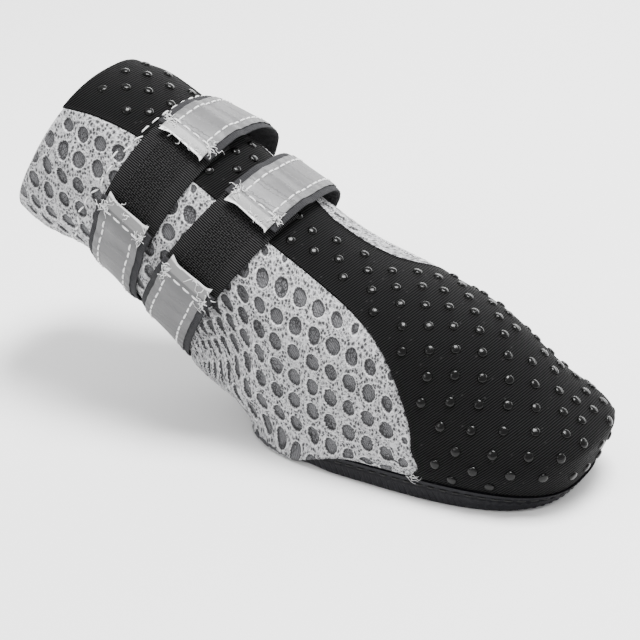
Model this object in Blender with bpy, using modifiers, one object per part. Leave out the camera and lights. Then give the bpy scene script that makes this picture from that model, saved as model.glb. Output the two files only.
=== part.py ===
"""Dog boot: a moulded rubber sole, a hollow mesh upper with a dotted front panel and two straps.

The foot lies along +X with the toe forward, +Y is the wearer's left, and the sole stands on Z = 0.
The shaft leans back from the foot, as the real boot does when it is empty. All lengths are metres.
"""

import math

import bmesh
import bpy
import numpy as np

# Foot and shaft
SOLE_LENGTH = 0.100
BALL_WIDTH = 0.0576
INSTEP_HEIGHT = 0.056
HEEL_HEIGHT = 0.025
SHAFT_LENGTH = 0.071
SHAFT_DEPTH = 0.054
SHAFT_WIDTH = 0.0555
SHAFT_RISE = math.radians(26.0)

# Cloth
WALL = 0.0014
HEM_WALL = 0.0024
HEM_DEPTH = 0.028
HEM_FADE = 0.004
PANEL_THICK = 0.0006
PANEL_FAR_SHARE = 0.80
GAP = 0.0003

# Sole
RIM_HEEL = 0.0024
RIM_TOE = 0.0038
RIM_SIDE_RISE = 0.0032
RISE_POWER_BACK = 5.0
RISE_POWER_FRONT = 2.0
RIM_LEDGE = 0.0032
HEEL_FLAT_END = -0.020
BALL_FLAT_START = -0.006
BALL_FLAT_END = 0.040
SPRING_LENGTH = 0.015
SOLE_FLOOR = 0.0020
EDGE_ROUND = 0.0007
TOE_SPRING = 0.0008
WAIST_LIFT = 0.0005
STITCH_GROOVE = 0.0006
SIDE_RIB = 0.00035
TREAD_DEPTH = 0.0009
TREAD_GROOVE = 0.0018
TREAD_PITCH = 0.0105
TREAD_SWEEP = 0.006
INSOLE_THICK = 0.0016

# Straps
STRAP_WIDTH = 0.019
STRAP_THICK = 0.0011
STRAP_BACK_GAP = 0.0006
PAD_THICK = 0.0011
TAPE_WIDTH = 0.015
TAPE_THICK = 0.0004
TAPE_SIDE = 0.5 * TAPE_WIDTH / STRAP_WIDTH
ARCH_LIFT = 0.0052

# Fineness of the solids
AROUND_PANEL = 12
AROUND_MESH = 26
STEPS_A_SECTION = 2
AROUND_SOLE = 96
STRAP_STEPS = 44
TRACK_STEPS = 220
OUTLINE_STEPS = 2000
WELD = 1e-6

# Sections of the boot, from the outline on the ground to the collar. Each is a rounded loop
# between a back point and a front point. Foot sections give X as a share of SOLE_LENGTH, the
# back's height as a share of the way from the sole's rim to HEEL_HEIGHT, the front's height as
# a share of the way from the rim to INSTEP_HEIGHT, and half the width as a share of BALL_WIDTH.
FOOT_COLUMNS = ("back_x", "back_z", "front_x", "front_z", "half_width",
                "widest", "square_front", "square_back", "side_rise", "panel_half")
FOOT_SECTIONS = (
    (-0.370, 0.000, 0.552, 0.000, 0.488, 0.48, 2.80, 3.30, 0.00, 0.236),
    (-0.409, 0.000, 0.574, 0.000, 0.499, 0.52, 2.70, 3.05, 1.00, 0.234),
    (-0.436, 0.067, 0.612, 0.172, 0.511, 0.56, 2.75, 2.77, 0.25, 0.239),
    (-0.537, 0.278, 0.618, 0.310, 0.507, 0.56, 2.60, 2.52, 0.00, 0.235),
    (-0.633, 0.483, 0.496, 0.467, 0.496, 0.56, 2.30, 2.50, 0.00, 0.203),
    (-0.686, 0.692, 0.312, 0.732, 0.488, 0.55, 2.15, 2.22, 0.00, 0.169),
    (-0.716, 0.840, 0.102, 0.880, 0.488, 0.53, 2.10, 2.15, 0.00, 0.131),
    (-0.746, 1.000, -0.134, 1.000, 0.490, 0.50, 2.10, 2.10, 0.00, 0.100),
)

# Shaft sections are measured from the middle of the last foot section, along the shaft as
# shares of SHAFT_LENGTH and across it as shares of SHAFT_DEPTH and SHAFT_WIDTH.
SHAFT_COLUMNS = ("back_along", "back_off", "front_along", "front_off", "half_width",
                 "widest", "square_front", "square_back", "side_rise", "panel_half")
SHAFT_SECTIONS = (
    (0.403, -0.478, 0.042, 0.500, 0.506, 0.50, 2.10, 2.10, 0.00, 0.096),
    (0.546, -0.437, 0.341, 0.530, 0.498, 0.50, 2.10, 2.10, 0.00, 0.102),
    (0.700, -0.435, 0.620, 0.552, 0.491, 0.50, 2.20, 2.20, 0.00, 0.104),
    (0.866, -0.480, 0.839, 0.543, 0.485, 0.50, 2.30, 2.30, 0.00, 0.118),
    (1.020, -0.504, 0.980, 0.500, 0.437, 0.50, 2.40, 2.40, 0.00, 0.138),
)
RIM_SECTION = 1
STRAPPED_SECTION = 2
COLLAR_SECTION = len(FOOT_SECTIONS) + len(SHAFT_SECTIONS) - 1

# The two straps, from the foot up: how far each leans from square to the shaft, and the turns
# of its two ends and of its hook pad. A turn is counted from the back of the boot, 0.25 on the
# near side, -Y. The straps lie STRAP_BACK_GAP apart at the back of the shaft, where the middle
# of the lower one is at FIRST_STRAP of SHAFT_LENGTH, and they fan out towards the front.
FIRST_STRAP = 0.208
STRAP_COLUMNS = ("name", "lean", "sewn_end", "free_end", "pad_start", "pad_end")
STRAPS = (
    ("lower", math.radians(7.5), 0.281, 0.412, 0.256, 0.475),
    ("upper", math.radians(-1.5), 0.287, 0.430, 0.262, 0.490),
)
STRAP_EASE = 0.029

# How far each strap stands off the boot at its collar-side and toe-side edges, as shares of
# ARCH_LIFT, for turns measured round from the back by the far side.
LIFT_COLUMNS = ("turn", "upper_collar", "upper_toe", "lower_collar", "lower_toe")
LIFTS = (
    (-0.60, 0.00, 0.00, 0.00, 0.05),
    (-0.55, 0.05, 0.20, 0.10, 0.25),
    (-0.50, 0.05, 0.45, 0.20, 0.40),
    (-0.40, 0.10, 0.90, 0.40, 0.65),
    (-0.34, 0.30, 1.30, 0.50, 0.75),
    (-0.28, 0.40, 1.30, 0.45, 0.60),
    (-0.20, 0.20, 0.60, 0.15, 0.20),
    (-0.12, 0.00, 0.00, 0.00, 0.00),
    (0.30, 0.00, 0.00, 0.00, 0.00),
)

# Rings of the sole's side, from the ground up: share of the rim's height and inset
SIDE_COLUMNS = ("height", "inset", "ribbed")
SIDE_RINGS = (
    (0.24, 0.00, 0),
    (0.42, 0.00, 1),
    (0.60, 0.00, 0),
    (0.66, 1.00, 0),
    (0.80, 1.00, 0),
    (0.86, 0.00, 0),
)
SPINE_SHARE = 0.7


def smooth_step(low, high, value):
    """0 below low, 1 above high and an S curve between them."""
    share = np.clip((value - low) / (high - low), 0.0, 1.0)
    return share * share * (3.0 - 2.0 * share)


def shaft_frame():
    """Middle of the last foot section, the shaft's direction and its forward normal."""
    last = dict(zip(FOOT_COLUMNS, FOOT_SECTIONS[-1]))
    ankle_x = 0.5 * (last["back_x"] + last["front_x"]) * SOLE_LENGTH
    ankle = np.array([ankle_x, 0.0, 0.5 * (HEEL_HEIGHT + INSTEP_HEIGHT)])
    along = np.array([-math.cos(SHAFT_RISE), 0.0, math.sin(SHAFT_RISE)])
    forward = np.array([math.sin(SHAFT_RISE), 0.0, math.cos(SHAFT_RISE)])
    return ankle, along, forward


def section_table():
    """All sections in metres: back x and z, front x and z, half width, then the shares."""
    rows = []
    for values in FOOT_SECTIONS:
        row = dict(zip(FOOT_COLUMNS, values))
        on_ground = len(rows) < RIM_SECTION
        back_rim = 0.0 if on_ground else RIM_HEEL
        front_rim = 0.0 if on_ground else RIM_TOE
        back_z = back_rim + row["back_z"] * (HEEL_HEIGHT - back_rim)
        front_z = front_rim + row["front_z"] * (INSTEP_HEIGHT - front_rim)
        rows.append((row["back_x"] * SOLE_LENGTH, back_z, row["front_x"] * SOLE_LENGTH, front_z,
                     row["half_width"] * BALL_WIDTH, row["widest"], row["square_front"],
                     row["square_back"], row["side_rise"] * RIM_SIDE_RISE, row["panel_half"]))
    ankle, along, forward = shaft_frame()
    for values in SHAFT_SECTIONS:
        row = dict(zip(SHAFT_COLUMNS, values))
        back = (ankle + row["back_along"] * SHAFT_LENGTH * along
                + row["back_off"] * SHAFT_DEPTH * forward)
        front = (ankle + row["front_along"] * SHAFT_LENGTH * along
                 + row["front_off"] * SHAFT_DEPTH * forward)
        rows.append((back[0], back[2], front[0], front[2], row["half_width"] * SHAFT_WIDTH,
                     row["widest"], row["square_front"], row["square_back"],
                     row["side_rise"] * RIM_SIDE_RISE, row["panel_half"]))
    return np.array(rows)


SECTIONS = section_table()


def blend_sections(section):
    """Smooth curve through the section table at fractional section numbers."""
    last = len(SECTIONS) - 1
    section = np.clip(section, 0.0, last)
    start = np.minimum(section.astype(int), last - 1)
    share = (section - start)[..., None]
    here = SECTIONS[start]
    after = SECTIONS[start + 1]
    before = np.where((start > 0)[..., None], SECTIONS[np.maximum(start - 1, 0)], 2.0 * here - after)
    beyond = np.where((start + 2 <= last)[..., None], SECTIONS[np.minimum(start + 2, last)],
                      2.0 * after - here)
    slope = (after - before) * share
    bend = (2.0 * before - 5.0 * here + 4.0 * after - beyond) * share ** 2
    twist = (3.0 * here - before - 3.0 * after + beyond) * share ** 3
    return here + 0.5 * (slope + bend + twist)


def boot_points(section, turn):
    """Outer surface of the boot: a rounded loop for each section, a turn from the back."""
    row = blend_sections(section)
    back_x, back_z, front_x, front_z, half, widest, sq_front, sq_back, rise, _ = np.moveaxis(row, -1, 0)
    angle = 2.0 * math.pi * turn
    ahead = -np.cos(angle)
    side = np.sin(angle)
    power = 2.0 / np.where(ahead > 0.0, sq_front, sq_back)
    reach = np.sign(ahead) * np.abs(ahead) ** power
    spread = np.sign(side) * np.abs(side) ** power
    along = np.where(ahead > 0.0, widest + (1.0 - widest) * reach, widest + widest * reach)
    x = back_x + (front_x - back_x) * along
    rise_power = np.where(ahead > 0.0, RISE_POWER_FRONT, RISE_POWER_BACK)
    z = back_z + (front_z - back_z) * along + rise * np.abs(side) ** rise_power
    return np.stack([x, -half * spread, z], axis=-1)


def boot_normals(section, turn):
    """Outward directions of the boot's surface, from small steps along both ways."""
    step_section = 0.02
    step_turn = 0.002
    low = np.maximum(section - step_section, RIM_SECTION)
    high = np.minimum(section + step_section, COLLAR_SECTION)
    up = boot_points(high, turn) - boot_points(low, turn)
    round_way = boot_points(section, turn + step_turn) - boot_points(section, turn - step_turn)
    normal = np.cross(round_way, up)
    return normal / np.linalg.norm(normal, axis=-1, keepdims=True)


def make_material(name, colour, roughness, metallic=0.0):
    """A Principled material."""
    material = bpy.data.materials.new(name)
    material.use_nodes = True
    shader = material.node_tree.nodes["Principled BSDF"]
    shader.inputs["Base Color"].default_value = (*colour, 1.0)
    shader.inputs["Roughness"].default_value = roughness
    shader.inputs["Metallic"].default_value = metallic
    material.diffuse_color = (*colour, 1.0)
    return material


def add_object(name, mesh, material, collection):
    """Put a mesh into the scene as a smooth-shaded object."""
    mesh.shade_smooth()
    mesh.set_sharp_from_angle(angle=math.radians(40.0))
    mesh.materials.append(material)
    thing = bpy.data.objects.new(name, mesh)
    collection.objects.link(thing)
    return thing


def grid_mesh(name, points, closed):
    """Faces between neighbouring points of a grid; closed joins its last column to the first."""
    rows, columns = points.shape[:2]
    number = np.arange(rows * columns).reshape(rows, columns)
    if closed:
        number = np.concatenate([number, number[:, :1]], axis=1)
    faces = np.stack([number[:-1, :-1], number[:-1, 1:], number[1:, 1:], number[1:, :-1]], axis=-1)
    mesh = bpy.data.meshes.new(name)
    mesh.from_pydata(points.reshape(-1, 3).tolist(), [], faces.reshape(-1, 4).tolist())
    mesh.update()
    return mesh


def thicken(thing, thickness, group=None, thin_share=1.0):
    """Give an open surface its wall, inward from the face that shows."""
    wall = thing.modifiers.new("wall", "SOLIDIFY")
    wall.thickness = thickness
    wall.offset = -1.0
    wall.use_even_offset = False
    if group is not None:
        wall.vertex_group = group
        wall.thickness_vertex_group = thin_share


def upper_grid():
    """Section numbers, turns and recess depth of the upper's outer face, aligned to the panel."""
    steps = (COLLAR_SECTION - RIM_SECTION) * STEPS_A_SECTION
    section = np.linspace(RIM_SECTION, COLLAR_SECTION, steps + 1)
    half = blend_sections(section)[:, -1]
    beyond_panel = 0.005
    step_width = 0.011  # both in turns
    near_edge = 0.5 - half
    far_edge = 0.5 + half * PANEL_FAR_SHARE
    panel = np.linspace(0.0, 1.0, AROUND_PANEL + 1)
    panel_turns = near_edge[:, None] + (far_edge - near_edge)[:, None] * panel[None, :]
    far_ledge = far_edge[:, None] + np.array([beyond_panel, beyond_panel + step_width])
    near_ledge = 1.0 + near_edge[:, None] - np.array([beyond_panel + step_width, beyond_panel])
    span = near_ledge[:, :1] - far_ledge[:, 1:]
    share = np.linspace(0.0, 1.0, AROUND_MESH + 1)[1:-1]
    mesh_turns = far_ledge[:, 1:] + span * share[None, :]
    turn = np.concatenate([panel_turns, far_ledge, mesh_turns, near_ledge], axis=1)
    recess = np.zeros(turn.shape[1])
    recess[:AROUND_PANEL + 2] = 1.0
    recess[-1] = 1.0
    section = np.broadcast_to(section[:, None], turn.shape)
    return section, turn, recess[None, :] * np.ones_like(turn)


def build_upper(collection):
    """One hollow wall from the sole's rim to the collar, lowered under the front panel."""
    section, turn, recess = upper_grid()
    points = boot_points(section, turn)
    normals = boot_normals(section, turn)
    points = points - normals * (recess * (PANEL_THICK + GAP))[..., None]
    points[0, :, 2] += GAP
    mesh = grid_mesh("upper", points, closed=True)
    material = make_material("mesh_cloth", (0.66, 0.67, 0.69), 0.85)
    upper = add_object("upper", mesh, material, collection)
    from_collar = np.linalg.norm(np.diff(points, axis=0), axis=-1)[::-1].cumsum(axis=0)[::-1]
    from_collar = np.concatenate([from_collar, np.zeros((1, points.shape[1]))], axis=0)
    hem = 1.0 - smooth_step(HEM_DEPTH - HEM_FADE, HEM_DEPTH, from_collar)
    group = upper.vertex_groups.new(name="hem")
    for index, weight in enumerate(hem.ravel()):
        group.add([index], float(weight), "REPLACE")
    thicken(upper, HEM_WALL, "hem", WALL / HEM_WALL)
    return upper


def build_front_panel(collection):
    """Dotted cloth over the toe and up the front of the shaft, flush with the mesh beside it."""
    section, turn, _ = upper_grid()
    section = section[:, :AROUND_PANEL + 1].copy()
    turn = turn[:, :AROUND_PANEL + 1]
    points = boot_points(section, turn)
    points[0, :, 2] += GAP
    mesh = grid_mesh("front_panel", points, closed=False)
    material = make_material("dotted_cloth", (0.022, 0.022, 0.024), 0.7)
    panel = add_object("front_panel", mesh, material, collection)
    thicken(panel, PANEL_THICK)
    return panel


def strap_plane(name):
    """A point on the strap's middle plane and the plane's direction towards the collar."""
    ankle, shaft, forward = shaft_frame()
    along = FIRST_STRAP * SHAFT_LENGTH
    below = None
    for values in STRAPS:
        strap = dict(zip(STRAP_COLUMNS, values))
        half = 0.5 * STRAP_WIDTH / math.cos(strap["lean"])
        if below is not None:
            along += below + STRAP_BACK_GAP + half
        if strap["name"] == name:
            break
        below = half
    point = ankle + along * shaft - 0.5 * SHAFT_DEPTH * forward
    angle = SHAFT_RISE + strap["lean"]
    return point, np.array([-math.cos(angle), 0.0, math.sin(angle)])


def strap_lift(name, turn, side):
    """Stand-off of a strap at a turn; side runs from -0.5 at its toe edge to 0.5."""
    table = np.array(LIFTS)
    collar = np.interp(turn, table[:, 0], table[:, LIFT_COLUMNS.index(name + "_collar")])
    toe = np.interp(turn, table[:, 0], table[:, LIFT_COLUMNS.index(name + "_toe")])
    return ARCH_LIFT * (toe + (collar - toe) * (side + 0.5))


def wrap_points(strap, turn, side, height):
    """Points round the boot in the strap's planes, height above the boot's surface."""
    point, direction = strap_plane(strap["name"])
    fine = np.linspace(STRAPPED_SECTION, COLLAR_SECTION, TRACK_STEPS)
    section = np.empty(turn.shape)
    for column in range(turn.shape[1]):
        track = boot_points(fine, np.full(fine.shape, turn[0, column]))
        distance = (track - point) @ direction
        section[:, column] = np.interp(side[:, column] * STRAP_WIDTH, distance, fine)
    return boot_points(section, turn) + height[..., None] * boot_normals(section, turn)


def strap_grid(start, end, steps, sides):
    """Turns along a strap and places across it, as shares of STRAP_WIDTH from its middle."""
    turn = np.linspace(start, end, steps + 1)
    side, turn = np.meshgrid(np.array(sides), turn, indexing="ij")
    return turn, side


def band_height(strap, turn, side):
    """Outer face of the band: over the hook pad at both ends and arched off the front."""
    clear = 0.006
    pad_start = strap["pad_start"] - clear
    pad_end = strap["pad_end"] - 1.0 + clear
    at_sewn_end = smooth_step(pad_start - STRAP_EASE, pad_start, turn)
    at_free_end = 1.0 - smooth_step(pad_end, pad_end + STRAP_EASE, turn)
    over_pad = np.maximum(at_sewn_end, at_free_end) * (PAD_THICK + GAP)
    return GAP + STRAP_THICK + over_pad + strap_lift(strap["name"], turn, side)


def build_band(strap, material, collection):
    """Webbing from its sewn end on the near side round the back and over the front."""
    sides = (-0.5, -TAPE_SIDE, 0.0, TAPE_SIDE, 0.5)
    turn, side = strap_grid(strap["free_end"] - 1.0, strap["sewn_end"], STRAP_STEPS, sides)
    points = wrap_points(strap, turn, side, band_height(strap, turn, side))
    band = add_object("strap_" + strap["name"], grid_mesh("band", points, closed=False),
                      material, collection)
    thicken(band, STRAP_THICK)
    return band


def build_tape(strap, material, collection):
    """Reflective tape along the middle of the band."""
    sides = (-TAPE_SIDE, 0.0, TAPE_SIDE)
    turn, side = strap_grid(strap["free_end"] - 1.0, strap["sewn_end"], STRAP_STEPS, sides)
    height = band_height(strap, turn, side) + GAP + TAPE_THICK
    points = wrap_points(strap, turn, side, height)
    tape = add_object("tape_" + strap["name"], grid_mesh("tape", points, closed=False),
                      material, collection)
    thicken(tape, TAPE_THICK)
    return tape


def build_hook_pad(strap, material, collection):
    """Hook webbing sewn to the near side of the shaft."""
    steps = STRAP_STEPS // 4
    sides = (-0.5, -TAPE_SIDE, 0.0, TAPE_SIDE, 0.5)
    turn, side = strap_grid(strap["pad_start"], strap["pad_end"], steps, sides)
    points = wrap_points(strap, turn, side, np.full(turn.shape, GAP + PAD_THICK))
    pad = add_object("hook_pad_" + strap["name"], grid_mesh("hook_pad", points, closed=False),
                     material, collection)
    thicken(pad, PAD_THICK)
    return pad


def ground_height(x):
    """Underside of the sole: flat at heel and ball, lifted at the waist and the toe."""
    middle = 0.5 * (HEEL_FLAT_END + BALL_FLAT_START)
    waist = smooth_step(HEEL_FLAT_END, middle, x) * (1.0 - smooth_step(middle, BALL_FLAT_START, x))
    toe = np.maximum(x - BALL_FLAT_END, 0.0) / SPRING_LENGTH
    return WAIST_LIFT * waist + TOE_SPRING * toe ** 2


def sole_turns(count):
    """Turns spaced evenly round the ground outline, starting at the back."""
    fine = np.linspace(0.0, 1.0, OUTLINE_STEPS + 1)
    outline = boot_points(np.zeros_like(fine), fine)
    travel = np.concatenate([[0.0], np.linalg.norm(np.diff(outline, axis=0), axis=1).cumsum()])
    return np.interp(np.arange(count) / count * travel[-1], travel, fine)


def inset(ring, distance):
    """Move a ring inward in plan, square to its own outline."""
    way = np.roll(ring, -1, axis=0) - np.roll(ring, 1, axis=0)
    inward = np.stack([way[:, 1], -way[:, 0], np.zeros(len(ring))], axis=1)
    inward /= np.linalg.norm(inward, axis=1, keepdims=True)
    centre = ring.mean(axis=0)
    facing = np.sign(((centre - ring) * inward).sum(axis=1).mean())
    return ring + facing * inward * distance


def toward_spine(ring, share):
    """Move a ring towards the sole's middle line; at share 1 it lies on that line."""
    spine = ring * np.array([SPINE_SHARE, 0.0, 1.0])
    return ring + (spine - ring) * share


def build_outsole(collection, cutters):
    """Moulded tray: ribbed side with a stitch groove, a ledge for the upper and a cut tread."""
    turn = sole_turns(AROUND_SOLE)
    ground = boot_points(np.zeros_like(turn), turn)
    rim = boot_points(np.full_like(turn, RIM_SECTION), turn)
    ground[:, 2] = ground_height(ground[:, 0])
    foot = inset(ground, EDGE_ROUND)
    rings = [toward_spine(foot, share) for share in (1.0, 0.66, 0.33, 0.0)]
    rib = np.where(np.arange(AROUND_SOLE) % 2 == 0, 1.0, -1.0)
    for values in SIDE_RINGS:
        row = dict(zip(SIDE_COLUMNS, values))
        ring = ground + (rim - ground) * row["height"]
        ring = inset(ring, row["inset"] * STITCH_GROOVE)
        if row["ribbed"]:
            ring = ring + (inset(ring, 1.0) - ring) * (SIDE_RIB * rib[:, None])
        rings.append(ring)
    rings.append(rim)
    rings.append(inset(rim, RIM_LEDGE))
    floor = inset(rim, RIM_LEDGE + EDGE_ROUND)
    floor[:, 2] = ground_height(floor[:, 0]) + SOLE_FLOOR
    rings += [toward_spine(floor, share) for share in (0.0, 0.5, 1.0)]
    for ring in rings[:3]:
        ring[:, 2] = ground_height(ring[:, 0])
    for ring in rings[-2:]:
        ring[:, 2] = ground_height(ring[:, 0]) + SOLE_FLOOR
    mesh = grid_mesh("outsole", np.stack(rings)[:, ::-1], closed=True)
    weld_and_face_out(mesh)
    material = make_material("moulded_rubber", (0.022, 0.024, 0.030), 0.55)
    outsole = add_object("outsole", mesh, material, collection)
    cut = outsole.modifiers.new("tread", "BOOLEAN")
    cut.operation = "DIFFERENCE"
    cut.object = build_tread_cutter(cutters)
    return outsole


def weld_and_face_out(mesh):
    """Merge the points that meet on the middle line and turn every face outward."""
    work = bmesh.new()
    work.from_mesh(mesh)
    bmesh.ops.remove_doubles(work, verts=work.verts, dist=WELD)
    bmesh.ops.dissolve_degenerate(work, edges=work.edges, dist=WELD)
    bmesh.ops.recalc_face_normals(work, faces=work.faces)
    work.to_mesh(mesh)
    work.free()


def build_tread_cutter(cutters):
    """Chevron grooves across the sole, each a bent bar that passes both edges."""
    work = bmesh.new()
    reach = 0.7 * BALL_WIDTH
    ground = dict(zip(FOOT_COLUMNS, FOOT_SECTIONS[0]))
    first = math.ceil(ground["back_x"] * SOLE_LENGTH / TREAD_PITCH)
    last = math.floor(ground["front_x"] * SOLE_LENGTH / TREAD_PITCH)
    for place in range(first, last):
        x = (place + 0.5) * TREAD_PITCH
        outline = [(x + 0.5 * TREAD_GROOVE, 0.0), (x + 0.5 * TREAD_GROOVE - TREAD_SWEEP, reach),
                   (x - 0.5 * TREAD_GROOVE - TREAD_SWEEP, reach), (x - 0.5 * TREAD_GROOVE, 0.0),
                   (x - 0.5 * TREAD_GROOVE - TREAD_SWEEP, -reach),
                   (x + 0.5 * TREAD_GROOVE - TREAD_SWEEP, -reach)]
        points = [work.verts.new((px, py, -TREAD_DEPTH)) for px, py in outline]
        face = work.faces.new(points)
        raised = bmesh.ops.extrude_face_region(work, geom=[face])["geom"]
        top = [item for item in raised if isinstance(item, bmesh.types.BMVert)]
        bmesh.ops.translate(work, verts=top, vec=(0.0, 0.0, 2.0 * TREAD_DEPTH))
    bmesh.ops.recalc_face_normals(work, faces=work.faces)
    mesh = bpy.data.meshes.new("tread_grooves")
    work.to_mesh(mesh)
    work.free()
    cutter = bpy.data.objects.new("tread_grooves", mesh)
    cutter.hide_render = True
    cutter.display_type = "WIRE"
    cutters.objects.link(cutter)
    return cutter


def build_insole(collection):
    """Foam insole lying in the sole's tray."""
    turn = sole_turns(AROUND_SOLE // 2)
    rim = boot_points(np.full_like(turn, RIM_SECTION), turn)
    edge = inset(rim, RIM_LEDGE + EDGE_ROUND + GAP)
    rings = []
    for share, lift in ((1.0, 0.0), (0.5, 0.0), (0.0, 0.0), (0.0, 1.0), (0.5, 1.0), (1.0, 1.0)):
        ring = toward_spine(edge, share)
        ring[:, 2] = ground_height(ring[:, 0]) + SOLE_FLOOR + GAP + lift * INSOLE_THICK
        rings.append(ring)
    mesh = grid_mesh("insole", np.stack(rings)[:, ::-1], closed=True)
    weld_and_face_out(mesh)
    material = make_material("insole_foam", (0.09, 0.09, 0.10), 0.9)
    return add_object("insole", mesh, material, collection)


def main():
    """Clear the scene and build the boot."""
    for thing in list(bpy.data.objects):
        bpy.data.objects.remove(thing, do_unlink=True)
    boot = bpy.data.collections.new("dog_boot")
    cutters = bpy.data.collections.new("cutters")
    bpy.context.scene.collection.children.link(boot)
    bpy.context.scene.collection.children.link(cutters)
    build_outsole(boot, cutters)
    build_insole(boot)
    build_upper(boot)
    build_front_panel(boot)
    webbing = make_material("black_webbing", (0.025, 0.026, 0.030), 0.75)
    hooks = make_material("hook_webbing", (0.016, 0.016, 0.018), 0.6)
    silver = make_material("reflective_tape", (0.42, 0.43, 0.44), 0.45)
    for values in STRAPS:
        strap = dict(zip(STRAP_COLUMNS, values))
        build_hook_pad(strap, hooks, boot)
        build_band(strap, webbing, boot)
        build_tape(strap, silver, boot)


main()
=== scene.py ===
import math

import bmesh
import bpy
import numpy as np
from mathutils import Matrix


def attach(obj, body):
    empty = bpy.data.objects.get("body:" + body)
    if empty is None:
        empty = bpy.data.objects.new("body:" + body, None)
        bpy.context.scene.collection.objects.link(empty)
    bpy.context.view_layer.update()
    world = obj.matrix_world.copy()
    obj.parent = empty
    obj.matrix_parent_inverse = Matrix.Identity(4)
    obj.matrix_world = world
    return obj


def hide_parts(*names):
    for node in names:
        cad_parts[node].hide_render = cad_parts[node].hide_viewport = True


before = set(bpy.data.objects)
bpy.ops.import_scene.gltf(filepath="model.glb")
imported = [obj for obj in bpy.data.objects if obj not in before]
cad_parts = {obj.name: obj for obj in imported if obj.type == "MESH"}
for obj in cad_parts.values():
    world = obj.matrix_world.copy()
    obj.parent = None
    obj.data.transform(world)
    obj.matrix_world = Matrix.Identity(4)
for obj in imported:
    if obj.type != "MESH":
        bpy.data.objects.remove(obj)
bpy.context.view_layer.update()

MM = 0.001

# Sizes of the boot, as in the solids
SOLE_LENGTH = 0.100
BALL_WIDTH = 0.0576
INSTEP_HEIGHT = 0.056
HEEL_HEIGHT = 0.025
SHAFT_LENGTH = 0.071
SHAFT_DEPTH = 0.054
SHAFT_WIDTH = 0.0555
SHAFT_RISE = math.radians(26.0)
WALL = 0.0014
HEM_WALL = 0.0024
PANEL_THICK = 0.0006
GAP = 0.0003
RIM_HEEL = 0.0024
RIM_TOE = 0.0038
RIM_SIDE_RISE = 0.0032
RISE_POWER_BACK = 5.0
RISE_POWER_FRONT = 2.0
HEEL_FLAT_END = -0.020
BALL_FLAT_START = -0.006
BALL_FLAT_END = 0.040
SPRING_LENGTH = 0.015
TOE_SPRING = 0.0008
WAIST_LIFT = 0.0005
STRAP_WIDTH = 0.019
STRAP_THICK = 0.0011
STRAP_BACK_GAP = 0.0006
PAD_THICK = 0.0011
TAPE_WIDTH = 0.015
TAPE_THICK = 0.0004
ARCH_LIFT = 0.0052
STRAP_EASE = 0.029
FIRST_STRAP = 0.208

# Foot: back x and z, front x and z, half width, place of the widest point, squareness in front and
# behind, rise of the rim at its sides, and half the dotted panel's share of a turn
FOOT_SECTIONS = (
    (-0.370, 0.000, 0.552, 0.000, 0.488, 0.48, 2.80, 3.30, 0.00, 0.236),
    (-0.409, 0.000, 0.574, 0.000, 0.499, 0.52, 2.70, 3.05, 1.00, 0.234),
    (-0.436, 0.067, 0.612, 0.172, 0.511, 0.56, 2.75, 2.77, 0.25, 0.239),
    (-0.537, 0.278, 0.618, 0.310, 0.507, 0.56, 2.60, 2.52, 0.00, 0.235),
    (-0.633, 0.483, 0.496, 0.467, 0.496, 0.56, 2.30, 2.50, 0.00, 0.203),
    (-0.686, 0.692, 0.312, 0.732, 0.488, 0.55, 2.15, 2.22, 0.00, 0.169),
    (-0.716, 0.840, 0.102, 0.880, 0.488, 0.53, 2.10, 2.15, 0.00, 0.131),
    (-0.746, 1.000, -0.134, 1.000, 0.490, 0.50, 2.10, 2.10, 0.00, 0.100),
)
# Shaft: back along the shaft and off its middle line, front along and off, then as for the foot
SHAFT_SECTIONS = (
    (0.403, -0.478, 0.042, 0.500, 0.506, 0.50, 2.10, 2.10, 0.00, 0.096),
    (0.546, -0.437, 0.341, 0.530, 0.498, 0.50, 2.10, 2.10, 0.00, 0.102),
    (0.700, -0.435, 0.620, 0.552, 0.491, 0.50, 2.20, 2.20, 0.00, 0.104),
    (0.866, -0.480, 0.839, 0.543, 0.485, 0.50, 2.30, 2.30, 0.00, 0.118),
    (1.020, -0.504, 0.980, 0.500, 0.437, 0.50, 2.40, 2.40, 0.00, 0.138),
)
RIM_SECTION = 1
STRAPPED_SECTION = 2
COLLAR_SECTION = len(FOOT_SECTIONS) + len(SHAFT_SECTIONS) - 1
STRAPS = (
    {"name": "lower", "lean": math.radians(7.5), "sewn_end": 0.281, "free_end": 0.412,
     "pad_start": 0.256, "pad_end": 0.475},
    {"name": "upper", "lean": math.radians(-1.5), "sewn_end": 0.287, "free_end": 0.430,
     "pad_start": 0.262, "pad_end": 0.490},
)
LIFT_COLUMNS = ("turn", "upper_collar", "upper_toe", "lower_collar", "lower_toe")
LIFTS = (
    (-0.60, 0.00, 0.00, 0.00, 0.05),
    (-0.55, 0.05, 0.20, 0.10, 0.25),
    (-0.50, 0.05, 0.45, 0.20, 0.40),
    (-0.40, 0.10, 0.90, 0.40, 0.65),
    (-0.34, 0.30, 1.30, 0.50, 0.75),
    (-0.28, 0.40, 1.30, 0.45, 0.60),
    (-0.20, 0.20, 0.60, 0.15, 0.20),
    (-0.12, 0.00, 0.00, 0.00, 0.00),
    (0.30, 0.00, 0.00, 0.00, 0.00),
)

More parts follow.
